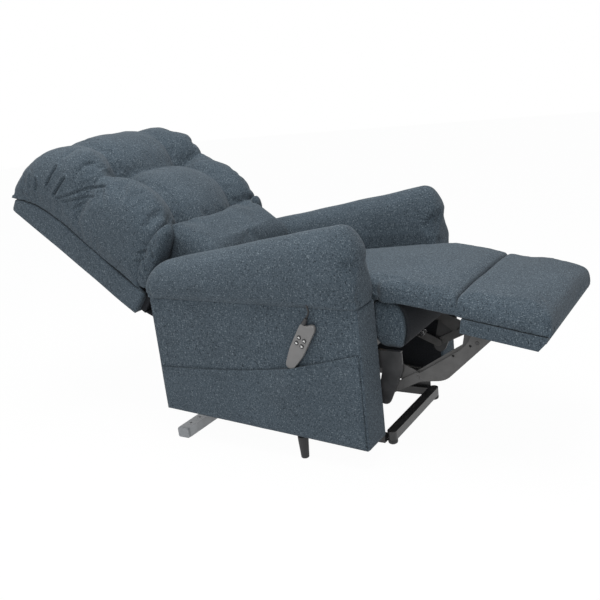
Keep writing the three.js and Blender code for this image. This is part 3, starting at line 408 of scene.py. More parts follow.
def cushion(name: str, rings: Array, puff: Puff, held: Shift, shift: Shift, move: Move = to_part) -> Piece:
    """Makes a soft piece: skins its form, puffs it up, refines it and presses its folds in.

    Args:
        name: name of the piece.
        rings: R x M x 3 points of its form, in its sub-assembly's frame.
        puff: how it is remeshed and blown up.
        held: how firmly each vertex is held while it is blown up.
        shift: how far each vertex moves along its normal afterwards.
        move: takes points of the sub-assembly's frame into the part's frame.

    Returns:
        The finished object, not yet dressed.
    """
    obj = moved_loft(name, rings, move)
    puff.apply(obj, held)
    refine(obj)
    press(obj, shift)
    return obj


# ------------------------------------------------------------------------------------------ finishes
def feed(tree: bpy.types.NodeTree, socket: Socket, value: object) -> None:
    """Links an input to the socket that it is given, or sets it to the value."""
    if isinstance(value, Socket):
        tree.links.new(value, socket)
    else:
        socket.default_value = value


def maths(tree: bpy.types.NodeTree, how: str, a: object, b: object) -> Socket:
    """Adds a maths node on two values or sockets.

    Args:
        tree: the node tree that gets the node.
        how: the node's operation, as Blender names it.
        a: first value or socket.
        b: second value or socket.

    Returns:
        The node's output.
    """
    node = tree.nodes.new("ShaderNodeMath")
    node.operation = how
    feed(tree, node.inputs[0], a)
    feed(tree, node.inputs[1], b)
    return node.outputs[0]


class Wiring:
    """Small builder for a material's nodes."""

    def __init__(self, name: str) -> None:
        """Makes an empty material of that name with one Principled shader.

        Args:
            name: name of the material.
        """
        self.material = bpy.data.materials.new(name)
        self.material.use_nodes = True
        self.tree = self.material.node_tree
        self.shader = self.tree.nodes["Principled BSDF"]
        self.place = self.add("ShaderNodeTexCoord").outputs["Object"]

    def add(self, kind: str, **inputs: object) -> bpy.types.Node:
        """Adds a node and sets or links its inputs.

        Args:
            kind: the node's type name.
            inputs: socket name with underscores for spaces, to a value or an output socket.

        Returns:
            The node.
        """
        node = self.tree.nodes.new(kind)
        for key, value in inputs.items():
            feed(self.tree, node.inputs[key.replace("_", " ")], value)
        return node

    def keep(self, **numbers: float) -> None:
        """Sets sockets of the shader that are the same all over, named with underscores for spaces."""
        for key, value in numbers.items():
            self.shader.inputs[key.replace("_", " ")].default_value = value

    def noise(self, scale: float, detail: float = 2.0, stretch: Sequence[float] = (1, 1, 1)) -> Socket:
        """Noise on Object coordinates, drawn out along an axis where stretch is below 1."""
        place = self.add("ShaderNodeMapping", Vector=self.place, Scale=tuple(stretch)).outputs[0]
        return self.add("ShaderNodeTexNoise", Vector=place, Scale=scale, Detail=detail).outputs["Fac"]

    def ramp(self, factor: Socket, stops: Sequence[tuple[float, Sequence[float]]]) -> Socket:
        """Colour ramp with the given places and colours.

        Args:
            factor: the socket that picks the colour.
            stops: places between 0 and 1, each with its colour.

        Returns:
            The colour output.
        """
        node = self.add("ShaderNodeValToRGB", Fac=factor)
        elements = node.color_ramp.elements
        while len(elements) < len(stops):
            elements.new(0.5)
        for element, (place, colour) in zip(elements, stops):
            element.position = place
            element.color = (*colour, 1.0)
        return node.outputs["Color"]

    def math(self, how: str, a: object, b: object) -> Socket:
        """Maths node on two values."""
        return maths(self.tree, how, a, b)

    def mix(self, factor: object, a: object, b: object, how: str = "MIX") -> Socket:
        """Colour mix of a and b.

        Args:
            factor: share of b, a value or a socket.
            a: first colour or socket.
            b: second colour or socket.
            how: the way they are mixed, as Blender names it.

        Returns:
            The mixed colour's output.
        """
        node = self.tree.nodes.new("ShaderNodeMix")
        node.data_type = "RGBA"
        node.blend_type = how
        for socket, value in ((node.inputs[0], factor), (node.inputs[6], a), (node.inputs[7], b)):
            feed(self.tree, socket, (*value, 1.0) if isinstance(value, tuple) else value)
        return node.outputs[2]

    def emboss(self, height: Socket, strength: float, depth: float) -> None:
        """Feeds a bump of the given strength and depth in metres to the shader."""
        node = self.add("ShaderNodeBump", Height=height, Strength=strength, Distance=depth)
        self.tree.links.new(node.outputs[0], self.shader.inputs["Normal"])

    def colour(self, socket: Socket) -> None:
        """Feeds the shader's base colour."""
        self.tree.links.new(socket, self.shader.inputs["Base Color"])

    def rough(self, socket: Socket) -> None:
        """Feeds the shader's roughness."""
        self.tree.links.new(socket, self.shader.inputs["Roughness"])


@dataclass(frozen=True)
class Tweed:
    """Heather upholstery cloth: short warp and weft threads of three shades over a fine weave.

    Attributes:
        name: name of the material.
        dark: colour of the dark threads.
        body: colour of most threads.
        light: colour of the light flecks.
    """

    name: str = "blue_grey_tweed"
    dark: Colour = (0.014, 0.020, 0.026)
    body: Colour = (0.050, 0.068, 0.084)
    light: Colour = (0.150, 0.180, 0.200)

    def material(self) -> Material:
        """Builds the node material.

        Returns:
            The material.
        """
        w = Wiring(self.name)
        upright = w.noise(420.0, 2.0, (1.0, 1.0, 0.26))
        along = w.noise(440.0, 2.0, (0.32, 1.0, 1.0))
        across = w.noise(430.0, 2.0, (1.0, 0.32, 1.0))
        flecks = w.noise(330.0, 3.0)
        woven = w.math("ADD", w.math("ADD", upright, along), across)
        threads = w.math("ADD", w.math("MULTIPLY", woven, 0.24), w.math("MULTIPLY", flecks, 0.28))
        shade = w.ramp(threads, [(0.42, self.dark), (0.48, self.body), (0.54, self.body), (0.61, self.light)])
        cloudy = w.noise(7.0, 3.0)
        tone = w.ramp(cloudy, [(0.3, (0.93, 0.93, 0.93)), (0.7, (1.07, 1.07, 1.07))])
        w.colour(w.mix(1.0, shade, tone, "MULTIPLY"))
        w.emboss(threads, 0.55, 0.0012)
        w.keep(Roughness=0.95, Specular_IOR_Level=0.2, Sheen_Weight=0.05, Sheen_Roughness=0.6)
        return w.material


@dataclass(frozen=True)
class CoatedSteel:
    """Powder-coated or painted steel with a fine orange-peel and slight dust.

    Attributes:
        name: name of the material.
        base: paint colour.
        roughness: mean roughness.
        metallic: metallic share of the shader.
    """

    name: str
    base: Colour
    roughness: float = 0.42
    metallic: float = 0.0

    def material(self) -> Material:
        """Builds the node material.

        Returns:
            The material.
        """
        w = Wiring(self.name)
        peel = w.noise(900.0, 2.0)
        dust = w.noise(28.0, 5.0)
        paler = tuple(min(1.0, c * 1.25 + 0.012) for c in self.base)
        w.colour(w.ramp(dust, [(0.35, self.base), (0.75, paler)]))
        w.rough(w.math("ADD", w.math("MULTIPLY", dust, 0.16), self.roughness - 0.08))
        w.emboss(peel, 0.25, 0.0003)
        w.keep(Metallic=self.metallic)
        return w.material


@dataclass(frozen=True)
class Moulded:
    """Moulded plastic or rubber with a fine spark-eroded grain.

    Attributes:
        name: name of the material.
        base: colour.
        roughness: mean roughness.
        grain: strength of the grain's bump.
    """

    name: str
    base: Colour
    roughness: float = 0.5
    grain: float = 0.2

    def material(self) -> Material:
        """Builds the node material.

        Returns:
            The material.
        """
        w = Wiring(self.name)
        fine = w.noise(1400.0, 3.0)
        worn = w.noise(45.0, 4.0)
        brighter = tuple(min(1.0, c * 1.12 + 0.004) for c in self.base)
        w.colour(w.ramp(worn, [(0.3, self.base), (0.75, brighter)]))
        w.rough(w.math("ADD", w.math("MULTIPLY", worn, 0.14), self.roughness - 0.07))
        w.emboss(fine, self.grain, 0.0002)
        return w.material


@dataclass(frozen=True)
class Plywood:
    """Plain seat board: pale veneer with grain along the chair."""

    name: str = "seat_board"

    def material(self) -> Material:
        """Builds the node material.

        Returns:
            The material.
        """
        w = Wiring(self.name)
        grain = w.noise(90.0, 5.0, (0.06, 1.0, 1.0))
        w.colour(w.ramp(grain, [(0.35, (0.30, 0.19, 0.10)), (0.65, (0.52, 0.37, 0.21))]))
        w.emboss(grain, 0.2, 0.0004)
        w.keep(Roughness=0.7)
        return w.material


@dataclass(frozen=True)
class DustCloth:
    """Thin black non-woven cloth that lines the underside and the inner faces."""

    name: str = "black_lining"
    base: Colour = (0.010, 0.011, 0.013)

    def material(self) -> Material:
        """Builds the node material.

        Returns:
            The material.
        """
        w = Wiring(self.name)
        fibre = w.noise(420.0, 4.0)
        w.colour(w.ramp(fibre, [(0.35, self.base), (0.7, tuple(c * 2.2 for c in self.base))]))
        w.emboss(fibre, 0.4, 0.0005)
        w.keep(Roughness=0.9, Specular_IOR_Level=0.2)
        return w.material


class Finish(Enum):
    """The chair's finishes, by the record's material slot."""

    TWEED = "upholstery"
    BLACK_STEEL = "black_paint"
    GREY_STEEL = "grey_paint"
    SILVER_STEEL = "silver_paint"
    ROD = "rod_steel"
    BLACK_PLASTIC = "black_plastic"
    GREY_PLASTIC = "grey_plastic"
    HANDSET = "handset_plastic"
    KEY = "button_plastic"
    RUBBER = "black_rubber"
    WOOD = "frame_wood"
    LINING = "black_cloth"


class Wardrobe:
    """Builds each finish once and gives it to pieces."""

    def __init__(self) -> None:
        """Builds all materials."""
        self.materials: dict[Finish, Material] = {
            Finish.TWEED: Tweed().material(),
            Finish.BLACK_STEEL: CoatedSteel("black_powder_coat", (0.026, 0.026, 0.027), 0.36).material(),
            Finish.GREY_STEEL: CoatedSteel("grey_painted_steel", (0.052, 0.051, 0.050), 0.42).material(),
            Finish.SILVER_STEEL: CoatedSteel(
                "silver_painted_steel", (0.30, 0.31, 0.32), 0.38, 0.3,
            ).material(),
            Finish.ROD: CoatedSteel("rod_steel_bright", (0.55, 0.55, 0.56), 0.25, 1.0).material(),
            Finish.BLACK_PLASTIC: Moulded("black_motor_plastic", (0.020, 0.020, 0.022), 0.5).material(),
            Finish.GREY_PLASTIC: Moulded("grey_cap_plastic", (0.20, 0.21, 0.22), 0.5).material(),
            Finish.HANDSET: Moulded("handset_grey_plastic", (0.135, 0.132, 0.130), 0.30, 0.12).material(),
            Finish.KEY: Moulded("grey_key_plastic", (0.030, 0.030, 0.032), 0.4, 0.1).material(),
            Finish.RUBBER: Moulded("black_rubber_moulding", (0.012, 0.012, 0.013), 0.6, 0.3).material(),
            Finish.WOOD: Plywood().material(),
            Finish.LINING: DustCloth().material(),
        }
        self.marks = Moulded("pale_key_mark", (0.62, 0.62, 0.60), 0.45, 0.1).material()

    def dress(self, obj: Piece, finish: Finish | Material) -> None:
        """Gives an object one material.

        Args:
            obj: the piece or CAD node.
            finish: the finish it takes, or a material of its own.
        """
        obj.data.materials.clear()
        obj.data.materials.append(self.materials[finish] if isinstance(finish, Finish) else finish)

    def dress_nodes(self) -> None:
        """Gives every CAD node the finish of its record slot."""
        for entry in frame["record"]["subparts"]:
            self.dress(frame["nodes"][entry["node"]], Finish(entry["material_slot"]))


# ------------------------------------------------------------------------------------------ soft pieces
@dataclass(frozen=True)
class PadForm:
    """A cushion's starting form in its own frame: a loft along X with rounded edges all round.

    Attributes:
        start: first X.
        stop: last X.
        turn_start: rounding at the first end.
        turn_stop: rounding at the last end.
        half: half width at each X.
        radius: rounding of the long sides.
        bottom: height of the underside at each X and Y.
        top: height of the top at each X and Y.
        mid: height of the side seam at each X.
        step: distance between points.
        boxy: below 1 for side walls that stand up straighter.
        boxy_ends: the same for the walls at the first and last X.
        low_edge: rounding of the underside's edge.
    """

    start: float
    stop: float
    turn_start: float
    turn_stop: float
    half: Callable[[Array], Array]
    radius: float
    bottom: Callable[[Array, Array], Array]
    top: Callable[[Array, Array], Array]
    mid: Callable[[Array], Array]
    step: float = 0.012
    boxy: float = 0.8
    boxy_ends: float = 0.8
    low_edge: float = 0.010

    def rings(self) -> Array:
        """Works out the form.

        Each ring goes over the top and back under the bottom. A top point's height is the seam height plus
        the distance to the face times the product of the end's and the side's quarter-circle fullness, each
        to its boxy power; the underside turns over its own small edge.

        Returns:
            R x M x 3 points in the cushion's own frame.
        """
        turns = self.turn_start, self.turn_stop
        x = spread(self.start, self.stop, max(4, int((self.stop - self.start) / self.step)), *turns)
        width = float(np.max(self.half(x)))
        v = spread(-1.0, 1.0, max(5, int(2 * width / self.step)), self.radius / width, self.radius / width)
        half = self.half(x)[:, None]
        y = v[None, :] * half
        grid_x = np.repeat(x[:, None], len(v), axis=1)
        ends = np.minimum(arc_fill(x - self.start, turns[0]), arc_fill(self.stop - x, turns[1]))[:, None]
        inset = np.minimum(np.minimum(x - self.start, self.stop - x)[:, None], half - np.abs(y))
        seam = self.mid(x)[:, None]
        fill = ends**self.boxy_ends * arc_fill(half - np.abs(y), self.radius) ** self.boxy
        upper = seam + (self.top(grid_x, y) - seam) * fill
        lower = seam + (self.bottom(grid_x, y) - seam) * arc_fill(inset, self.low_edge)
        over = np.stack([grid_x, y, upper], axis=-1)
        under = np.stack([grid_x, y, lower], axis=-1)[:, 1:-1][:, ::-1]
        return np.concatenate([over, under], axis=1)


def even(value: float) -> Callable[..., Array]:
    """A height or half width that is the same everywhere, in the form that PadForm takes."""
    return lambda x, y=None: np.full_like(x, value)


def facing_down(limit: float = -0.5) -> Shift:
    """Holds a piece firmly where its normal's Z is below the limit, and leaves the rest free."""
    return lambda p, n: np.where(n[:, 2] < limit, 1.0, 0.0)


def waves_on_top(seed: int, scale: float) -> Shift:
    """Soft waves of 1.2 mm on the faces that look up, from a seed and a wavelength."""
    return lambda p, n: 0.0012 * ripple(seed, p, scale) * (n[:, 2] > 0)


def swept(x: Array, z: Array, y: Array) -> Array:
    """A path in X and Z carried across Y, as an R x M x 3 grid of points."""
    shape = np.ones((len(x), len(y)))
    return np.stack([x[:, None] * shape, y[None] * shape, z[:, None] * shape], axis=-1)


def slab_rings(
    outline: Array, face_a: float, face_b: float, fillet: float, crown: float = 0.0,
    shares: Array | None = None,
) -> Array:
    """A flat-sided panel as rings from the middle of one face, round its edge, to the middle of the other.

    A ring is the outline shrunk towards its middle. Over the fillets the ring's inset follows the sine and
    its depth the cosine of a quarter turn. The crown adds a dome that falls off with the shrink's square.

    Args:
        outline: M x 2 points of the panel's outline.
        face_a: depth of the first face.
        face_b: depth of the second face.
        fillet: radius of the edges.
        crown: extra fullness of both faces in the middle.
        shares: sizes of the rings on the faces, as shares of the outline; evenly spaced when left out.

    Returns:
        R x M x 3 points as outline X, outline Y and depth.
    """
    middle = (outline.max(axis=0) + outline.min(axis=0)) / 2
    reach = np.linalg.norm(outline - middle, axis=1, keepdims=True)
    sign = math.copysign(1.0, face_b - face_a)
    turn = np.linspace(0.0, math.pi / 2, 6)
    rings = []
    for share in np.linspace(0.04, 0.96, 22) if shares is None else shares:
        inner = middle + (outline - middle) * (1 - fillet / reach) * share
        rings.append(np.c_[inner, np.full(len(outline), face_a - sign * crown * (1 - share**2))])
    for angle in turn:
        inset = fillet * (1 - math.sin(angle))
        ring = middle + (outline - middle) * (1 - inset / reach)
        rings.append(np.c_[ring, np.full(len(outline), face_a + sign * fillet * (1 - math.cos(angle)))])
    mirrored = [np.c_[ring[:, :2], face_a + face_b - ring[:, 2]] for ring in rings[::-1]]
    return np.array(rings + mirrored)


def resample(outline: Array, count: int) -> Array:
    """Closed outline resampled to evenly spaced points along its length.

    Args:
        outline: M x 2 corner points.
        count: number of points wanted.

    Returns:
        count x 2 points.
    """
    closed = np.vstack([outline, outline[:1]])
    travel = np.r_[0.0, np.cumsum(np.linalg.norm(np.diff(closed, axis=0), axis=1))]
    where = np.linspace(0.0, travel[-1], count, endpoint=False)
    return np.stack([np.interp(where, travel, closed[:, k]) for k in range(2)], axis=1)


def pleats(
    points: Array, centre: Sequence[float], plane: tuple[int, int], count: float, near: float, far: float,
    phase: float = 0.0,
) -> Array:
    """Gathers that fan out from a point: a cosine of the angle about it, over a band of distance.

    Args:
        points: N x 3 points.
        centre: the point the gathers come from.
        plane: the two axes in which the angle is measured.
        count: number of gathers in a full turn.
        near: distance at which they start.
        far: distance over which they fade.
        phase: turns the gathers, in radians.

    Returns:
        N values from -1 to 1, sharper in the valleys.
    """
    a = points[:, plane[0]] - centre[plane[0]]
    b = points[:, plane[1]] - centre[plane[1]]
    distance = np.linalg.norm(points - np.asarray(centre), axis=1)
    angle = np.arctan2(b, a)
    wave = np.abs(np.cos(angle * count / 2 + phase + 1.3 * np.sin(angle * 3.0))) ** 0.7
    band = np.clip(distance / near, 0.0, 1.0) * np.exp(-np.clip(distance - near, 0.0, None) / far)
    return (wave - 0.75) * band


def creases(a: Array, b: Array, lines: Wrinkles, width: float) -> Array:
    """Wrinkles along given lines: a bell-shaped valley with a low ridge on either side.

    Args:
        a: first coordinate of each point.
        b: second coordinate of each point.
        lines: for each wrinkle its depth and the places it runs through.
        width: half width of the valleys.

    Returns:
        The signed height at each point, in metres.
    """
    total = np.zeros(len(a))
    for depth, path in lines:
        nearest = np.full(len(a), 1e3)
        for (a0, b0), (a1, b1) in zip(path, path[1:]):
            run = ((a - a0) * (a1 - a0) + (b - b0) * (b1 - b0)) / ((a1 - a0) ** 2 + (b1 - b0) ** 2)
            run = np.clip(run, 0.0, 1.0)
            nearest = np.minimum(nearest, np.hypot(a - a0 - run * (a1 - a0), b - b0 - run * (b1 - b0)))
        total += depth * (0.30 * bump(nearest - 2.4 * width, 1.3 * width) - bump(nearest, width))
    return total


@dataclass(frozen=True)
class Tufting:
    """Depths and reaches of the back's sewn valleys and full pillows, in metres.

    Attributes:
        stitch: depth and width of the sharp line along the upper row.
        upper_bell: depth and width of the wide valley at the upper row.
        lower_bell: the same at the lower row.
        column_stitch: depth and width of the sharp lines up the back.
        column_bell: depth and width of the wide valleys up the back.
        shallower: share by which the rows flatten out towards the sides, where that starts, and over what.
        column_least: share of their depth that the columns keep away from the rows.
        column_reach: how far from the upper and the lower row the columns stay deep.
        tuft: extra depth at a button, and its reach at the upper and the lower row.
        outer_middle: distance from the middle plane at which the outer pillows are fullest, and its width.
        lower_outer: extra fullness of the lower outer pillows, its place up the back and its width.
        upper_outer: the same for the upper outer pillows.
        crown: extra fullness of the lower middle pillow, its width, place and height.
        settled: how far the top has settled on the sitter's right, where that starts and where up the back.
        full: extra fullness of the top left pillow, where it starts, and its place up the back and width.
        top_end: fall of the top end, where it starts and over what length.
    """

    stitch: tuple[float, float] = (0.014, 0.016)
    upper_bell: tuple[float, float] = (0.030, 0.070)
    lower_bell: tuple[float, float] = (0.030, 0.055)
    column_stitch: tuple[float, float] = (0.010, 0.012)
    column_bell: tuple[float, float] = (0.020, 0.050)
    shallower: tuple[float, float, float] = (0.40, 0.210, 0.060)
    column_least: float = 0.30
    column_reach: tuple[float, float] = (0.140, 0.110)
    tuft: tuple[float, float, float] = (0.010, 0.060, 0.050)
    outer_middle: tuple[float, float] = (0.262, 0.075)
    lower_outer: tuple[float, float, float] = (0.030, 0.180, 0.120)
    upper_outer: tuple[float, float, float] = (0.016, 0.40, 0.090)
    crown: tuple[float, float, float, float] = (0.008, 0.120, 0.19, 0.10)
    settled: tuple[float, float, float] = (0.024, 0.10, 0.43)
    full: tuple[float, float, float, float] = (0.012, 0.19, 0.38, 0.080)
    top_end: tuple[float, float, float] = (0.042, 0.42, 0.18)


@dataclass
class Back:
    """The tufted back: shell, upper cushion, lumbar cushion with its two ends, and the black cloth below.

    Lengths run down the back from its lower corner's frame, so places above it are negative in X, and
    heights stand out of its front. The wings are the third row's ends beside the arms.
    """

    corner: tuple[float, float] = (-0.113, 0.397)
    tilt: float = 36.5
    length: float = 0.616
    half: float = 0.304
    seat_of_cushion: float = 0.0786
    board_half: float = 0.282
    board_length: float = 0.578
    fullest: float = 0.330
    tuft_row: float = 0.332
    tuft_y: float = 0.149
    lower_row: float = 0.046
    lumbar_half: float = 0.224
    lumbar_lower: float = 0.158
    seam_line: Places = (
        (-0.640, 0.018), (-0.616, 0.022), (-0.576, 0.045), (-0.524, 0.066),
        (-0.450, 0.081), (-0.380, 0.086), (0.0, 0.085),
    )
    side_wrinkles: Wrinkles = (
        (0.007, ((-0.569, 0.157), (-0.551, 0.121))), (0.008, ((-0.535, 0.165), (-0.524, 0.130))),
        (0.009, ((-0.480, 0.251), (-0.486, 0.174))), (0.010, ((-0.428, 0.243), (-0.443, 0.165))),
        (0.006, ((-0.292, 0.300), (-0.341, 0.260), (-0.390, 0.202), (-0.424, 0.166))),
        (0.005, ((-0.306, 0.254), (-0.397, 0.172))), (0.004, ((-0.320, 0.232), (-0.353, 0.171))),
        (0.005, ((-0.600, 0.110), (-0.578, 0.086))), (0.007, ((-0.067, 0.207), (-0.027, 0.249))),
        (0.0035, ((-0.065, 0.174), (-0.041, 0.190), (-0.026, 0.170))),
        (0.004, ((-0.037, 0.258), (-0.015, 0.270))),
    )
    wing_start: float = -0.062
    wing_half: float = 0.038
    wing_middle: float = 0.263
    wing_wrinkles: Wrinkles = (
        (0.006, ((-0.052, 0.196), (-0.020, 0.168))), (0.006, ((-0.050, 0.250), (-0.018, 0.222))),
        (0.004, ((-0.048, 0.150), (-0.020, 0.138))), (0.004, ((-0.050, 0.285), (-0.030, 0.250))),
    )
    wrinkle_width: float = 0.0036
    corner_radius: float = 0.026
    panel_depth: float = 0.085
    lean_back: float = 0.014
    tufting: Tufting = Tufting()

    def to_chair(self, points: Array) -> Array:
        """Back frame (X down the back, Z out of its front) to the part's frame."""
        return to_part(turned(points, self.corner, self.tilt))

    def from_chair(self, points: Array) -> Array:
        """The chair's drawing frame to the back's own frame."""
        return untilted(points, self.corner, self.tilt)

    def seam(self, x: Array) -> Array:
        """Height of the seam between shell and cushion: level, and falling towards the top of the back."""
        places, heights = np.array(self.seam_line).T
        return np.interp(x, places, heights)

    def outside_board(self, x: Array, y: Array, edge: float) -> Array:
        """How far a place lies outside the cushion's board: 0 over it, 1 one edge's width past it."""
        return rise(np.maximum(np.abs(y) - self.board_half, -self.board_length - x), 0.0, edge)

    def valley(self, up: Array, y: Array) -> Array:
        """Depth of the sewn valleys below the fullest level.

        Valleys run across at the two rows and up the back at the tuft columns. Each is a sharp groove plus a
        wide bell; the columns fade away from the rows, and each tuft adds its own hollow. Bells make the
        outer pillows and the middle one fuller, and ramps let the top end fall and settle on one side.

        Args:
            up: distance up the back from its lower corner.
            y: distance from the middle plane.

        Returns:
            Depths of the shape of up and y.
        """
        t = self.tufting
        row, low_row = up - self.tuft_row, up - self.lower_row
        column = np.abs(y) - self.tuft_y
        near_tuft = bump(np.hypot(row, column), t.tuft[1]) + bump(np.hypot(low_row, column), t.tuft[2])
        across = t.stitch[0] * groove(row, t.stitch[1])
        across = across + t.upper_bell[0] * bump(row, t.upper_bell[1])
        across = across + t.lower_bell[0] * bump(low_row, t.lower_bell[1])
        across = across * (1.0 - t.shallower[0] * rise(np.abs(y), *t.shallower[1:]))
        near_row = np.maximum(bump(row, t.column_reach[0]), bump(low_row, t.column_reach[1]))
        down = t.column_stitch[0] * groove(column, t.column_stitch[1])
        down = down + t.column_bell[0] * bump(column, t.column_bell[1])
        down = (t.column_least + (1.0 - t.column_least) * near_row) * down
        lower_outer = t.lower_outer[0] * bump(up - t.lower_outer[1], t.lower_outer[2])
        upper_outer = t.upper_outer[0] * bump(up - t.upper_outer[1], t.upper_outer[2])
        outer = bump(np.abs(y) - t.outer_middle[0], t.outer_middle[1]) * (lower_outer + upper_outer)
        crown = t.crown[0] * bump(y, t.crown[1]) * bump(up - t.crown[2], t.crown[3])
        settled = t.settled[0] * rise(-y, t.settled[1], 0.10) * rise(up, t.settled[2], 0.10)
        full = t.full[0] * rise(y, t.full[1], 0.06) * bump(up - t.full[2], t.full[3])
        top_end = t.top_end[0] * rise(up, *t.top_end[1:])
        return across + down + t.tuft[0] * near_tuft + top_end + settled - full - outer - crown

    def build_shell(self) -> Piece:
        """The covered shell: a rounded panel whose padded rim stands round the cushion's board.

        Its outside leans back by 14 mm towards the top. Each depth is scaled to the rim's height at its
        place, and the rim is left out over the board.

        Returns:
            The shell, not yet dressed.
        """
        top, side, r = -self.length, self.half, self.corner_radius
        quarter = np.linspace(0, math.pi / 2, 7)
        far = np.c_[top + r - r * np.sin(quarter), side - r + r * np.cos(quarter)]
        near = np.c_[top + r - r * np.cos(quarter), -side + r - r * np.sin(quarter)]
        outline = resample(np.vstack([[0.0, -side], [0.0, side], far, near]), 190)
        shares = np.r_[np.linspace(0.04, 0.915, 20), 0.93, 0.94, 0.96]
        rings = slab_rings(outline, 0.0005, self.panel_depth, 0.007, shares=shares)
        x, y, z = rings[..., 0], rings[..., 1], rings[..., 2]
        over_seat = np.clip(self.seam(x) - 0.0660, 0.0, None) * self.outside_board(x, y, 0.002)
        height = np.minimum(0.0650, self.seam(x) - 0.0010) + over_seat
        share = z / self.panel_depth
        rings[..., 2] = share * height - self.lean_back * rise(-x, 0.0, 0.6) * (1.0 - share)
        obj = moved_loft("back_outside", rings, self.to_chair)
        press(obj, lambda p, n: 0.0010 * ripple(4, p, 0.16))
        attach(obj, "back")
        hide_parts("back_shell")
        return obj

    def build_cushion(self) -> Piece:
        """The upper cushion with two rows of three pillows, gathered along its sides.

        Returns:
            The cushion, not yet dressed.
        """
        base = self.seat_of_cushion

        def top(x: Array, y: Array) -> Array:
            """Height of the pillows, which end further up beside the arms.

            Args:
                x: places across the back.
                y: places along the back.

            Returns:
                The height at each place.
            """
            full = self.fullest - self.valley(-x, y)
            beside_arm = rise(np.abs(y), 0.205, 0.020)
            run = (-x - 0.002 - 0.034 * beside_arm) / (0.042 - 0.018 * beside_arm)
            return base + (full - base) * np.clip(run, 0.0, 1.0) ** 0.7

        def bottom(x: Array, y: Array) -> Array:
            """Height of the underside: on the board, and on the shell's rim outside it."""
            return np.where(self.outside_board(x, y, 0.004) > 0, self.seam(x) + 0.0005, base)

        form = PadForm(
            start=-self.length - 0.010, stop=-0.004, turn_start=0.130, turn_stop=0.010,
            half=even(self.half - 0.003), radius=0.075, bottom=bottom, top=top,
            mid=lambda x: self.seam(x) + 0.004, step=0.011, boxy=0.45, boxy_ends=0.66, low_edge=0.006,
        )

        def held(p: Array, n: Array) -> Array:
            """Firm at the board, the seam and the buttons, and half firm along the stitched lines.

            Args:
                p: N x 3 places.
                n: N x 3 normals.

            Returns:
                Share between 0 (free) and 1 (fixed) for each place.
            """
            local = self.from_chair(p)
            up, y, out = -local[:, 0], local[:, 1], local[:, 2]
            row, low_row, column = up - self.tuft_row, up - self.lower_row, np.abs(y) - self.tuft_y
            stitched = np.maximum(bump(np.hypot(row, column), 0.020), bump(np.hypot(low_row, column), 0.020))
            stitched = np.maximum(stitched, 0.75 * np.maximum(bump(row, 0.012), bump(column, 0.010)))
            return np.where(out < self.seam(-up) + 0.012, 1.0, np.where(out > 0.20, stitched, 0.0))

        def gather(p: Array, n: Array) -> Array:
            """Seams, buttons, the gathers round them, and the wrinkles of the sides.

            Args:
                p: N x 3 places.
                n: N x 3 normals.

            Returns:
                The move along the normal for each place.
            """
            local = self.from_chair(p)
            up, y, out = -local[:, 0], np.abs(local[:, 1]), local[:, 2]
            row, low_row, column = up - self.tuft_row, up - self.lower_row, y - self.tuft_y
            front = rise(out, 0.20, 0.04)
            side = rise(y, 0.235, 0.03)
            fade = np.maximum(bump(row, 0.120), bump(low_row, 0.090))
            crease = groove(column, 0.004) * (0.25 + 0.75 * fade) + 0.9 * groove(row, 0.0045)
            button = bump(np.hypot(row, column), 0.009) + bump(np.hypot(low_row, column), 0.009)
            button_at = (-self.tuft_row, self.tuft_y, 0.28)
            tuft = pleats(np.c_[local[:, 0], y, out], button_at, (0, 1), 13, 0.02, 0.020)
            fold = front * (0.003 * tuft - 0.0055 * crease - 0.006 * button)
            wrinkles = side * creases(local[:, 0], out, self.side_wrinkles, self.wrinkle_width)
            return fold + wrinkles + 0.0015 * ripple(9, p, 0.12)

        puff = Puff(voxel=0.0075, cap=0.014, slack=0.035)
        obj = cushion("back_pillows", form.rings(), puff, held, gather, self.to_chair)
        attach(obj, "back")
        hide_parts("back_cushion")
        return obj

    def build_wing(self, tag: str, side: float) -> Piece:
        """The end of the third row beside an arm, which is pressed flat as the back comes up to the arm.

        Args:
            tag: L or R, the side as the record names it.
            side: 1 on the sitter's left, -1 on the right.

        Returns:
            The wing, not yet dressed.
        """

        def top(x: Array, y: Array) -> Array:
            """Height of the wing: level with the lumbar cushion, and falling outwards and forwards."""
            outer_end = rise(side * y, -0.012, 0.048) ** 1.5
            return 0.318 - 0.5 * np.clip(x + 0.040, 0.0, None) - 0.045 * outer_end

        form = PadForm(
            start=self.wing_start, stop=-0.003, turn_start=0.014, turn_stop=0.030, boxy=0.5, boxy_ends=0.5,
            half=even(self.wing_half), radius=0.016, low_edge=0.014, step=0.008,
            bottom=even(self.seat_of_cushion + 0.012), mid=even(0.150), top=top,
        )
        rings = form.rings() + np.array([0.0, side * self.wing_middle, 0.0])

        def held(p: Array, n: Array) -> Array:
            """Firm near the board."""
            return np.where(self.from_chair(p)[:, 2] < 0.11, 1.0, 0.0)

        def wrinkle(p: Array, n: Array) -> Array:
            """The wrinkles that run down into the gap beside the arm."""
            local = self.from_chair(p)
            return creases(local[:, 0], local[:, 2], self.wing_wrinkles, self.wrinkle_width)

        puff = Puff(voxel=0.006, cap=0.006, slack=0.01)
        obj = cushion(f"back_wing_{tag}", rings, puff, held, wrinkle, self.to_chair)
        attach(obj, "back")
        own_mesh(obj)
        return obj

    def build_lumbar(self) -> Piece:
        """The lumbar cushion between the arms, tucked under the upper cushion.

        Returns:
            The cushion, not yet dressed.
        """
        base = self.seat_of_cushion

        def pillow_face(x: Array) -> Array:
            """Height of the upper cushion's lower face, which this cushion rests on."""
            return base + (0.288 - base) * rise(-x, 0.002, 0.042) ** 0.7

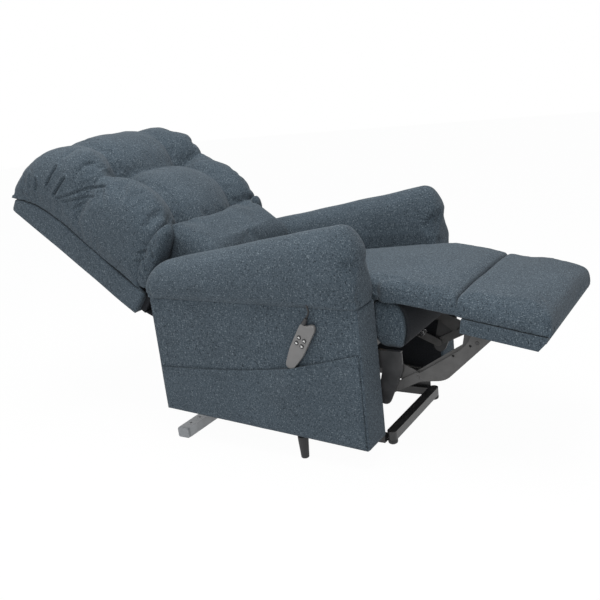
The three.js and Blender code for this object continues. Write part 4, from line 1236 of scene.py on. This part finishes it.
        form = PadForm(
            start=-0.050, stop=self.lumbar_lower, turn_start=0.045, turn_stop=0.062, boxy=0.45, boxy_ends=0.6,
            half=even(self.lumbar_half - 0.003), radius=0.024, low_edge=0.020,
            bottom=lambda x, y: np.maximum(0.158, pillow_face(x) + 0.004),
            top=lambda x, y: 0.326 - 0.012 * bump(np.abs(y) - self.tuft_y, 0.030) * bump(x + 0.046, 0.04),
            mid=lambda x: np.maximum(0.215, pillow_face(x) + 0.012),
        )

        def held(p: Array, n: Array) -> Array:
            """Firm near the board and at the lower buttons.

            Args:
                p: N x 3 places.
                n: N x 3 normals.

            Returns:
                Share between 0 (free) and 1 (fixed) for each place.
            """
            local = self.from_chair(p)
            column = np.abs(local[:, 1]) - self.tuft_y
            tied = bump(np.hypot(local[:, 0] + 0.04, column), 0.025)
            return np.maximum(np.where(local[:, 2] < 0.165, 1.0, 0.0), tied)

        def wave(p: Array, n: Array) -> Array:
            """Soft waves."""
            return 0.0012 * ripple(12, p, 0.10)

        puff = Puff(voxel=0.007, cap=0.008, slack=0.02)
        obj = cushion("lumbar_pillow", form.rings(), puff, held, wave, self.to_chair)
        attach(obj, "back")
        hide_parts("lumbar_cushion")
        return obj

    def build_under_cloth(self) -> Piece:
        """Black cloth from the shell's lower edge forward to the seat frame.

        Its path drops from the shell in a quarter turn and then runs forward; it has one even thickness.

        Returns:
            The cloth, not yet dressed.
        """
        t = np.linspace(0.0, 1.0, 16)
        x = -0.100 + 0.170 * t
        z = 0.402 - 0.050 * np.sin(t * math.pi / 2) + 0.012 * t**3
        y = np.linspace(-0.278, 0.278, 24)
        outer = swept(x, z, y)
        inner = outer + np.array([0.0, 0.0, 0.003])
        rings = np.concatenate([outer, inner[:, ::-1]], axis=1)
        obj = moved_loft("back_lower_cloth", rings)
        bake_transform(obj)
        return obj

    def build(self, wardrobe: Wardrobe) -> None:
        """Builds and dresses the back's pieces.

        Args:
            wardrobe: the finishes of the chair.
        """
        for make, finish in (
            (self.build_shell, Finish.TWEED), (self.build_cushion, Finish.TWEED),
            (self.build_lumbar, Finish.TWEED), (self.build_under_cloth, Finish.LINING),
        ):
            place(make(), wardrobe, finish)
        for tag, side in SIDES:
            place(self.build_wing(tag, side), wardrobe, Finish.TWEED)


def place(obj: Piece, wardrobe: Wardrobe, finish: Finish) -> None:
    """Dresses a finished piece and reports it.

    Args:
        obj: the finished piece.
        wardrobe: the finishes of the chair.
        finish: which of them it gets.
    """
    wardrobe.dress(obj, finish)
    LOG.info("%s: %d faces, %s", obj.name, len(obj.data.polygons), finish.value)


@dataclass
class Seat:
    """The seat: the long pad that runs on over the bridge, and the padded front roll."""

    rear: float = 0.228
    knee: float = 0.801
    half: float = 0.225
    front_half: float = 0.243
    deck_top: float = 0.350
    roll_top: float = 0.459
    top: float = 0.503
    bridge_tilt: float = 9.2
    bridge_length: float = 0.1515
    arm_front: float = 0.726
    bend: float = 0.03
    slack: float = 0.003

    def build_pad(self) -> Piece:
        """Seat cushion and bridge as one pad, with a soft bend at the knee.

        Returns:
            The pad, not yet dressed.
        """
        stop = self.knee + self.bridge_length * math.cos(math.radians(self.bridge_tilt)) + 0.008
        slope = math.tan(math.radians(self.bridge_tilt))

        def fall(x: Array) -> Array:
            """How far the bridge lies below the seat's level, with a soft bend at the knee."""
            past = np.clip(x - self.knee + self.bend, 0.0, None)
            return slope * (past - self.bend * (1 - np.exp(-past / self.bend)))

        def bottom(x: Array, y: Array) -> Array:
            """Height of the underside, which steps up from the deck to the front roll."""
            step = rise(x, 0.690, 0.012)
            return self.deck_top + (self.roll_top - self.deck_top) * step - fall(x)

        def swell(x: Array, y: Array) -> Array:
            """Fullness over the seat's level: a crown, lower at the rear and higher at the front."""
            crown = 0.012 * (1 - (y / self.front_half) ** 2)
            return crown - 0.002 - 0.008 * rise(-x, -0.40, 0.12) + 0.016 * rise(x, 0.50, 0.20)

        def half(x: Array) -> Array:
            """Half width: narrow between the arms, and flaring to the bridge's in front of them.

            Args:
                x: places along the seat.

            Returns:
                Half the width at each place.
            """
            narrow = self.half - self.slack
            wide = np.minimum(self.front_half, narrow + (x - self.arm_front) * 1.2)
            return np.where(x < self.arm_front, narrow, wide)

        def held(p: Array, n: Array) -> Array:
            """Firm on the underside and at the crease with the footrest."""
            return np.maximum(facing_down()(p, n), p[:, 0] > stop - 0.010)

        form = PadForm(
            start=self.rear, stop=stop, turn_start=0.030, turn_stop=0.006, boxy=0.5, boxy_ends=0.5,
            half=half, radius=0.026, bottom=bottom,
            top=lambda x, y: self.top + swell(x, y) - fall(x) - 0.002 * bump(x - stop, 0.02),
            mid=lambda x: (self.roll_top + self.top) / 2 - 0.004 - fall(x),
        )
        puff = Puff(voxel=0.007, cap=0.005, slack=0.004)
        obj = cushion("seat_pad", form.rings(), puff, held, waves_on_top(21, 0.16))
        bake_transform(obj)
        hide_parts("seat_cushion", "bridge_pad")
        return obj

    def build_roll(self) -> Piece:
        """The padded roll across the front of the seat frame.

        Returns:
            The roll, not yet dressed.
        """
        form = PadForm(
            start=0.702, stop=0.798, turn_start=0.010, turn_stop=0.040,
            half=even(self.half - self.slack), radius=0.018, low_edge=0.030,
            bottom=even(0.3165), top=even(self.roll_top - self.slack), mid=even(0.392),
        )

        def held(p: Array, n: Array) -> Array:
            """Firm where it touches the seat pad above and the frame below."""
            return np.where(np.abs(n[:, 2]) > 0.8, 1.0, 0.0)

        def wave(p: Array, n: Array) -> Array:
            """Soft waves, drawn in by half their height."""
            return 0.0012 * ripple(31, p, 0.07) - 0.0006

        obj = cushion("front_roll", form.rings(), Puff(voxel=0.0065, cap=0.004, slack=0.01), held, wave)
        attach(obj, "chassis")
        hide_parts("seat_front_roll")
        return obj

    def build_front_cloth(self) -> Piece:
        """Black cloth over the roll's front face, between the legrest's linkages.

        Its section follows the roll's rounded front a millimetre outside it, with one even thickness.

        Returns:
            The cloth, not yet dressed.
        """
        angle = np.linspace(0.30, math.pi - 0.75, 20)
        x = 0.7605 + 0.0415 * np.sin(angle)
        z = 0.387 + 0.0700 * np.cos(angle)
        y = np.linspace(-self.half + 0.012, self.half - 0.004, 20)
        middle = swept(x, z, y)
        outward = np.stack([np.sin(angle), np.zeros(20), np.cos(angle)], axis=-1)[:, None]
        rings = np.concatenate([middle + 0.0045 * outward, (middle + 0.0020 * outward)[:, ::-1]], axis=1)
        obj = moved_loft("seat_front_cloth", rings)
        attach(obj, "chassis")
        return obj

    def build(self, wardrobe: Wardrobe) -> None:
        """Builds and dresses the seat's pieces.

        Args:
            wardrobe: the finishes of the chair.
        """
        place(self.build_pad(), wardrobe, Finish.TWEED)
        place(self.build_roll(), wardrobe, Finish.TWEED)
        place(self.build_front_cloth(), wardrobe, Finish.LINING)


@dataclass
class Legrest:
    """The footrest pad, in a frame that stands at the footrest's pivot."""

    pivot: tuple[float, float] = (1.000, 0.358)
    tilt: float = 9.4
    rear: float = -0.060
    front: float = 0.188
    under: float = 0.0673
    thick: float = 0.038
    half: float = 0.245
    held_up_to: float = 0.963

    def to_chair(self, points: Array) -> Array:
        """Footrest frame to the part's frame."""
        return to_part(turned(points, self.pivot, self.tilt))

    def build_pad(self) -> Piece:
        """The footrest pad, with boxed sides and a rounded front edge.

        Returns:
            The pad, not yet dressed.
        """

        def top(x: Array, y: Array) -> Array:
            """Height of the top: a crown across, and a bell along."""
            across = 0.010 * (1 - (y / self.half) ** 2)
            return self.under + self.thick + 0.016 + across + 0.012 * bump(x - 0.09, 0.09)

        def held(p: Array, n: Array) -> Array:
            """Firm on the underside and at the crease with the bridge."""
            return np.maximum(facing_down()(p, n), p[:, 0] < self.held_up_to)

        form = PadForm(
            start=self.rear - 0.003, stop=self.front - 0.001, turn_start=0.005, turn_stop=0.026,
            half=even(self.half - 0.003), radius=0.030, low_edge=0.005, boxy=0.6, boxy_ends=0.55,
            bottom=even(self.under), mid=even(self.under + 0.005), top=top,
        )
        puff = Puff(voxel=0.006, cap=0.004, slack=0.008)
        waves = waves_on_top(41, 0.12)
        obj = cushion("footrest_cushion", form.rings(), puff, held, waves, self.to_chair)
        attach(obj, "footrest")
        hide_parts("footrest_pad")
        return obj

    def build(self, wardrobe: Wardrobe) -> None:
        """Builds and dresses the legrest's soft pieces."""
        place(self.build_pad(), wardrobe, Finish.TWEED)


@dataclass
class Arm:
    """One arm: covered panel with its front, rolled arm pad and black lining inside."""

    tag: str
    side: float
    length: float = 0.724
    outer: float = 0.346
    inner: float = 0.235
    pad_outer: float = 0.366
    pad_inner: float = 0.227
    pad_rear: float = -0.006
    pad_front: float = 0.737
    bottom_rear: float = 0.097
    bottom_front: float = 0.058
    seam_height: float = 0.470
    crest_rear: float = 0.578
    crest_slope: float = 0.117 / 0.660
    crest_fall: float = 0.200
    peak: float = 0.668
    gather_x: float = 0.716
    gather_z: float = 0.590
    tuck_height: float = 0.060
    tuck_outside: float = 0.017
    tuck_inside: float = 0.006
    tuck_front: float = 0.0125

    def seam(self, x: Array) -> Array:
        """Height of the seam between panel and pad, level along the whole arm."""
        return np.full_like(x, self.seam_height)

    def crest(self, x: Array) -> Array:
        """Height of the pad's top: a straight rise to its peak, then a parabola down."""
        past = np.clip(x - self.peak, 0.0, None)
        return self.crest_rear + self.crest_slope * np.minimum(x, self.peak) - past**2 / self.crest_fall

    def upright(self, name: str, rings: Array, smooth: bool = True) -> Piece:
        """Skins rings that give X, height and distance from the chair's middle plane, on this arm's side."""
        places = np.stack([rings[..., 0], self.side * rings[..., 2], rings[..., 1]], axis=-1)
        return moved_loft(name, places, smooth=smooth)

    def build_panel(self) -> Piece:
        """The padded side panel.

        Returns:
            The panel, not yet dressed.
        """
        x = np.linspace(self.length, 0.0, 24)
        top = np.c_[x, self.seam(x) + 0.0025]
        corners = np.vstack([[0.0, self.bottom_rear], [self.length, self.bottom_front], top])
        rings = slab_rings(resample(corners, 190), self.inner, self.outer - 0.0015, 0.006)
        obj = self.upright(f"arm_side_{self.tag}", rings)
        press(obj, lambda p, n: 0.0012 * ripple(51, p, 0.18) * (np.abs(n[:, 1]) > 0.7) - 0.0006)
        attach(obj, "chassis")
        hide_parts(f"arm_panel_{self.tag}")
        return obj

    def tuck(self, rings: Array) -> Array:
        """Draws the pad in towards the panel near the seam and at its front.

        The sideways pull falls with the square of the height above the seam. The front stays in the panel's
        plane up to the gathers and stands out above them.

        Args:
            rings: R x M x 3 points of the pad.

        Returns:
            The points, drawn in.
        """
        x, y, z = rings[..., 0], rings[..., 1] * self.side, rings[..., 2]
        pull = (1.0 - rise(z, self.seam(x), self.tuck_height)) ** 2
        middle = (self.outer + self.inner) / 2
        share = (y - middle) / (self.pad_outer - middle)
        y_new = y - pull * np.where(share > 0, self.tuck_outside * share, self.tuck_inside * share)
        below = rise(-z, -0.622, 0.030)
        x_new = x - self.tuck_front * below * below * (3 - 2 * below) * rise(x, 0.640, 0.090)
        return np.stack([x_new, y_new * self.side, z], axis=-1)

    def build_rest(self) -> Piece:
        """The rolled arm pad, gathered where its seam meets the front.

        Returns:
            The arm pad, not yet dressed.
        """
        width = (self.pad_outer - self.pad_inner) / 2
        centre = self.side * (self.pad_inner + width)
        form = PadForm(
            start=self.pad_rear + 0.003, stop=self.pad_front, turn_start=0.075, turn_stop=0.052,
            half=even(width - 0.003), radius=0.060,
            bottom=lambda x, y: self.seam(x) - 0.002,
            top=lambda x, y: self.crest(x) - 1.2 * y**2,
            mid=lambda x: self.seam(x) + 0.006, step=0.010, boxy=0.7, boxy_ends=0.5, low_edge=0.006,
        )
        rings = self.tuck(form.rings() + np.array([0.0, centre, 0.0]))

        def gather(p: Array, n: Array) -> Array:
            """Soft waves, and the gathers with a tuft where the seam meets the front's two edges.

            Args:
                p: N x 3 places.
                n: N x 3 normals.

            Returns:
                The move along the normal for each place.
            """
            total = 0.0012 * ripple(61, p, 0.14)
            above = rise(p[:, 2], 0.580, 0.012)
            for y in (self.pad_inner + 0.004, self.pad_outer - 0.004):
                spot = (self.gather_x, self.side * y, self.gather_z)
                total += 0.0060 * above * pleats(p, spot, (0, 2), 21, 0.012, 0.022, 0.6)
                total -= 0.005 * bump(np.linalg.norm(p - np.array(spot), axis=1), 0.010)
            return total

        puff = Puff(voxel=0.006, cap=0.005, slack=0.008)
        obj = cushion(f"arm_roll_{self.tag}", rings, puff, facing_down(-0.6), gather)
        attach(obj, "chassis")
        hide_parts(f"arm_pad_{self.tag}")
        return obj

    def build_lining(self) -> Piece:
        """Black cloth over the panel's inner face below the seat.

        Returns:
            The lining, not yet dressed.
        """
        outline = resample(np.array([[0.012, 0.108], [0.716, 0.070], [0.716, 0.440], [0.012, 0.440]]), 80)
        rings = slab_rings(outline, self.inner - 0.0002, self.inner - 0.0012, 0.0003)
        obj = self.upright(f"arm_lining_{self.tag}", rings, smooth=False)
        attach(obj, "chassis")
        return obj

    def build(self, wardrobe: Wardrobe) -> None:
        """Builds and dresses one arm.

        Args:
            wardrobe: the finishes of the chair.
        """
        place(self.build_panel(), wardrobe, Finish.TWEED)
        place(self.build_rest(), wardrobe, Finish.TWEED)
        place(self.build_lining(), wardrobe, Finish.LINING)


@dataclass
class Pocket:
    """The cloth pocket on the sitter's right, with the hand control tucked into its mouth."""

    mouth: Places = (
        (0.008, 0.244), (0.180, 0.252), (0.320, 0.263), (0.420, 0.275),
        (0.491, 0.288), (0.600, 0.313), (0.716, 0.345),
    )
    panel: float = 0.3463
    thick: float = 0.004
    handset_x: float = 0.499
    handset_z: float = 0.262
    rear: float = 0.008
    front: float = 0.716
    hem_height: float = 0.014
    hem_thick: float = 0.0012
    bulge: float = 0.0135
    edge_width: float = 0.01

    def build(self, wardrobe: Wardrobe) -> None:
        """The pocket: a sheet with a folded hem, standing away from the panel round the hand control.

        The sheet is a grid in X and in the height share between the panel's bottom edge and the mouth. Its
        outer face stands out by the cloth's thickness plus a bell round the hand control's foot.

        Args:
            wardrobe: the finishes of the chair.
        """
        columns, rows = 120, 44
        x = np.linspace(self.rear, self.front, columns)
        mouth = np.interp(x, *np.array(self.mouth).T)
        low = 0.097 - 0.039 * x / 0.724 + 0.005
        v = np.linspace(0.0, 1.0, rows)
        z = low[:, None] + (mouth - low)[:, None] * v[None]
        grid_x = np.repeat(x[:, None], rows, axis=1)
        bell = bump(grid_x - self.handset_x, 0.052) * bump(np.clip(z - self.handset_z, -1.0, 0.0), 0.075)
        hem = self.hem_thick * (mouth[:, None] - z < self.hem_height)
        from_side = np.minimum(grid_x - self.rear, self.front - grid_x)
        edge = rise(from_side, 0.0, self.edge_width) * rise(v[None], 0.0, 0.05)
        stands_out = self.thick - self.hem_thick + hem + self.bulge * bell
        out = self.panel + 0.0006 + stands_out * np.maximum(edge, 0.15)
        outer = np.stack([grid_x, -out, z], axis=-1)
        inner = np.stack([grid_x, np.full_like(z, -self.panel), z], axis=-1)
        rings = np.concatenate([outer, inner[:, ::-1]], axis=1)
        obj = moved_loft("pocket_cloth", rings)
        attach(obj, "chassis")
        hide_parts("side_pocket")
        place(obj, wardrobe, Finish.TWEED)


@dataclass
class HandControl:
    """The hand control's case, the marks on its keys, and its cord; the keys are CAD nodes."""

    diameter: float = 0.005
    foot: tuple[float, float] = (0.505, 0.303)
    lean: float = 31.0
    back_y: float = 0.3463
    front_y: float = 0.3603
    key_radius: float = 0.006
    key_places: Places = ((-0.009, 0.0745), (-0.009, 0.0935), (0.009, 0.0745), (0.009, 0.0935))
    relief: tuple[float, float] = (-0.015, 0.1546)
    clearance: float = 0.0006
    well_depth: float = 0.0031
    mark_stand: tuple[float, float] = (0.0004, 0.0014)
    mark: Places = (
        (-0.0036, -0.0016), (0.0036, -0.0016), (0.0036, -0.0004), (0.0, 0.0034), (-0.0036, -0.0004),
    )
    slit_route: tuple[tuple[float, float, float], ...] = (
        (0.583, -0.3545, 0.462), (0.577, -0.352, 0.478), (0.569, -0.3505, 0.494), (0.563, -0.3496, 0.508),
    )
    case: Places = (
        (-0.009, -0.014), (0.009, -0.014), (0.014, -0.009), (0.024, 0.046), (0.024, 0.139), (0.018, 0.149),
        (0.008, 0.149), (-0.006, 0.134), (-0.021, 0.134), (-0.024, 0.129), (-0.024, 0.046), (-0.014, -0.009),
    )

    def stand(self, points: Array) -> Array:
        """Takes points of the hand control's own upright frame (X, depth, Z) to its leaning place.

        Args:
            points: N x 3 points in the hand control's frame.

        Returns:
            The points in the chair's frame.
        """
        c, s = math.cos(math.radians(self.lean)), math.sin(math.radians(self.lean))
        x, y, z = points[..., 0], points[..., 1], points[..., 2]
        return to_part(np.stack([self.foot[0] + x * c + z * s, -y, self.foot[1] - x * s + z * c], axis=-1))

    def build_case(self, wardrobe: Wardrobe) -> None:
        """The moulded case: rounded edges, a slightly domed face and a round well for each key.

        Args:
            wardrobe: the finishes of the chair.
        """
        outline = resample(np.array(self.case), 140)
        for _ in range(6):
            outline = 0.25 * np.roll(outline, 1, axis=0) + 0.5 * outline + 0.25 * np.roll(outline, -1, axis=0)
        rings = slab_rings(outline, self.front_y - 0.0012, self.back_y, 0.0045, 0.0012)
        obj = closed_loft("hand_control_case", self.stand(rings[..., [0, 2, 1]]))
        angle = np.linspace(0.0, 2 * math.pi, 32, endpoint=False)
        for number, (x, z) in enumerate(self.key_places):
            radius = self.key_radius + self.clearance
            ring = np.c_[x + radius * np.cos(angle), np.zeros(32), z + radius * np.sin(angle)]
            depths = self.front_y - self.well_depth, self.front_y + 0.004
            well = np.array([ring + np.array([0.0, y, 0.0]) for y in depths])
            cutter = closed_loft(f"key_well_{number + 1}", self.stand(well), smooth=False)
            hole = obj.modifiers.new("well", "BOOLEAN")
            hole.operation = "DIFFERENCE"
            hole.solver = "EXACT"
            hole.object = cutter
            bake_modifiers(obj)
            bpy.data.objects.remove(cutter)
        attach(obj, "chassis")
        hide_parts("handset_case")
        place(obj, wardrobe, Finish.HANDSET)

    def build_marks(self, wardrobe: Wardrobe) -> None:
        """A small raised pale bar and wedge on each key, set into its top and moving with it.

        Args:
            wardrobe: the finishes of the chair.
        """
        shape = np.array(self.mark)
        depths = [self.front_y + stand for stand in self.mark_stand]
        for number, (x, z) in enumerate(self.key_places):
            plan = shape * np.array([1.0, 1.0 if number % 2 else -1.0])
            rings = np.array([np.c_[x + plan[:, 0], np.full(len(plan), y), z + plan[:, 1]] for y in depths])
            obj = closed_loft(f"key_mark_{number + 1}", self.stand(rings), smooth=False)
            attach(obj, f"button_{number + 1}")
            wardrobe.dress(obj, wardrobe.marks)
            LOG.info("%s: %d faces, pale mark", obj.name, len(obj.data.polygons))

    def build(self, wardrobe: Wardrobe) -> None:
        """Case, marks on the keys, and cord.

        Args:
            wardrobe: the finishes of the chair.
        """
        self.build_case(wardrobe)
        self.build_marks(wardrobe)
        self.build_cord(wardrobe)

    def build_cord(self, wardrobe: Wardrobe) -> None:
        """The short cord from the arm's slit down into the hand control.

        Args:
            wardrobe: the finishes of the chair.
        """
        c, s = math.cos(math.radians(self.lean)), math.sin(math.radians(self.lean))
        across, up = self.relief
        x, z = self.foot[0] + across * c + up * s, self.foot[1] - across * s + up * c
        y = -(self.back_y + self.front_y) / 2
        key = np.array([(x, y, z), (x + 0.006 * s, y, z + 0.006 * c), *self.slit_route])
        travel = np.r_[0.0, np.cumsum(np.linalg.norm(np.diff(key, axis=0), axis=1))]
        where = np.linspace(0.0, travel[-1], 26)
        path = np.stack([np.interp(where, travel, key[:, k]) for k in range(3)], axis=1)
        for _ in range(3):
            path[1:-1] = 0.25 * path[:-2] + 0.5 * path[1:-1] + 0.25 * path[2:]
        path = to_part(path)
        tangent = np.gradient(path, axis=0)
        tangent /= np.linalg.norm(tangent, axis=1, keepdims=True)
        side = np.cross(tangent, np.array([0.0, 1.0, 0.0]))
        side /= np.linalg.norm(side, axis=1, keepdims=True)
        other = np.cross(tangent, side)
        angle = np.linspace(0, 2 * math.pi, 12, endpoint=False)
        cos, sin = np.cos(angle)[None, :, None], np.sin(angle)[None, :, None]
        rings = path[:, None] + self.diameter / 2 * (cos * side[:, None] + sin * other[:, None])
        obj = closed_loft("hand_control_cord", rings)
        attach(obj, "chassis")
        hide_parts("handset_cord")
        place(obj, wardrobe, Finish.RUBBER)


# ------------------------------------------------------------------------------------------ studio
def seen_from(back: Sequence[float], spot: Sequence[float], roll: float = 0.0) -> Matrix:
    """Matrix of a camera or lamp that stands at a spot and looks against a direction.

    Args:
        back: direction from what it faces to the spot, of any length.
        spot: where it stands, in the part's frame.
        roll: turn about its own axis, in radians.

    Returns:
        The world matrix: level side and up axes from cross products with +Z, then turned by the roll.
    """
    back = np.asarray(back, float) / np.linalg.norm(back)
    right = np.cross(UP, back)
    right /= np.linalg.norm(right)
    up = np.cross(back, right)
    x = math.cos(roll) * right + math.sin(roll) * up
    y = -math.sin(roll) * right + math.cos(roll) * up
    return Matrix([[x[i], y[i], back[i], spot[i]] for i in range(3)] + [[0, 0, 0, 1]])


def add_to_scene(name: str, data: bpy.types.ID, matrix: Matrix) -> Piece:
    """Makes an object of a camera or lamp and puts it in the scene at that matrix.

    Args:
        name: name of the object.
        data: the camera or lamp.
        matrix: its place and turn.

    Returns:
        The object.
    """
    obj = bpy.data.objects.new(name, data)
    bpy.context.scene.collection.objects.link(obj)
    obj.matrix_world = matrix
    return obj


@dataclass(frozen=True)
class Studio:
    """Camera, light, floor and backdrop."""

    yaw: float = 32.6
    pitch: float = 15.9
    roll: float = -6.6
    focal_px: float = 766.0
    image_px: float = 600.0
    eye: tuple[float, float, float] = (1.635, -2.036, 1.064)
    floor_reach: float = 12.0
    floor_glow: float = 0.97

    def camera(self) -> None:
        """Sets the camera where the photograph was taken from."""
        yaw, pitch = math.radians(self.yaw), math.radians(self.pitch)
        back = (math.sin(yaw) * math.cos(pitch), -math.cos(yaw) * math.cos(pitch), math.sin(pitch))
        data = bpy.data.cameras.new("camera")
        data.lens = self.focal_px / self.image_px * data.sensor_width
        data.clip_end = 50.0
        spot = (self.eye[0] - ORIGIN_X, self.eye[1], self.eye[2])
        matrix = seen_from(back, spot, math.radians(self.roll))
        bpy.context.scene.camera = add_to_scene("camera", data, matrix)

    def lamp(self, name: str, spot: Sequence[float], aim: Sequence[float], size: float, power: float) -> None:
        """Adds a square area lamp.

        Args:
            name: name of the lamp.
            spot: where it stands.
            aim: the point it faces.
            size: its side, in metres.
            power: its power, in watts.
        """
        data = bpy.data.lights.new(name, "AREA")
        data.energy = power
        data.size = size
        add_to_scene(name, data, seen_from(np.array(spot, float) - np.array(aim, float), spot))

    def glow_for_camera(self, tree: bpy.types.NodeTree, shader: Socket, share: float) -> Socket:
        """Mixes white glow over a shader for camera, glossy and transmission rays.

        Args:
            tree: the node tree.
            shader: the shader for all other rays.
            share: share of the glow for those rays.

        Returns:
            The mixed shader's socket.
        """
        rays = tree.nodes.new("ShaderNodeLightPath").outputs
        seen = maths(tree, "MAXIMUM", rays["Is Camera Ray"], rays["Is Glossy Ray"])
        seen = maths(tree, "MULTIPLY", maths(tree, "MAXIMUM", seen, rays["Is Transmission Ray"]), share)
        in_material = tree.nodes.get("Material Output") is not None
        glow = tree.nodes.new("ShaderNodeEmission" if in_material else "ShaderNodeBackground")
        glow.inputs["Color"].default_value = (1, 1, 1, 1)
        glow.inputs["Strength"].default_value = 1.0
        mixed = tree.nodes.new("ShaderNodeMixShader")
        tree.links.new(seen, mixed.inputs[0])
        tree.links.new(shader, mixed.inputs[1])
        tree.links.new(glow.outputs[0], mixed.inputs[2])
        return mixed.outputs[0]

    def build(self) -> None:
        """Builds the whole studio."""
        self.camera()
        scene = bpy.context.scene
        scene.view_settings.view_transform = "Standard"
        world = bpy.data.worlds.new("studio")
        scene.world = world
        world.use_nodes = True
        tree = world.node_tree
        sky = tree.nodes["Background"]
        sky.inputs["Color"].default_value = (0.93, 0.96, 1.0, 1.0)
        sky.inputs["Strength"].default_value = 0.5
        tree.links.new(self.glow_for_camera(tree, sky.outputs[0], 1.0), tree.nodes["World Output"].inputs[0])
        self.lamp("top", (0.2, -0.4, 3.2), (0.1, 0.0, 0.4), 2.0, 84.0)
        self.lamp("key", (1.5, -3.0, 2.2), (0.1, 0.0, 0.4), 1.6, 34.0)
        self.lamp("fill", (-2.2, -2.6, 1.4), (-0.2, 0.0, 0.4), 2.0, 12.0)
        self.floor()

    def floor(self) -> None:
        """A large pale floor that fades into the backdrop and keeps the chair's soft shadow."""
        corners = self.floor_reach * np.array([[-1.0, -1.0], [1.0, -1.0], [1.0, 1.0], [-1.0, 1.0]])
        points = np.c_[corners, np.full(4, -0.0005)]
        obj = new_mesh("floor", points, [(0, 1, 2, 3)], smooth=False)
        material = bpy.data.materials.new("floor_white")
        material.use_nodes = True
        tree = material.node_tree
        shader = tree.nodes["Principled BSDF"]
        shader.inputs["Base Color"].default_value = (0.86, 0.86, 0.86, 1.0)
        shader.inputs["Roughness"].default_value = 0.9
        mixed = self.glow_for_camera(tree, shader.outputs[0], self.floor_glow)
        tree.links.new(mixed, tree.nodes["Material Output"].inputs[0])
        obj.data.materials.append(material)


def main() -> None:
    logging.basicConfig(level=logging.INFO, format="%(name)s: %(message)s")
    Studio().build()
    wardrobe = Wardrobe()
    HandControl().build(wardrobe)
    wardrobe.dress_nodes()
    for tag, side in SIDES:
        Arm(tag, side).build(wardrobe)
    Pocket().build(wardrobe)
    Seat().build(wardrobe)
    Legrest().build(wardrobe)
    Back().build(wardrobe)


if __name__ == "__main__":
    main()
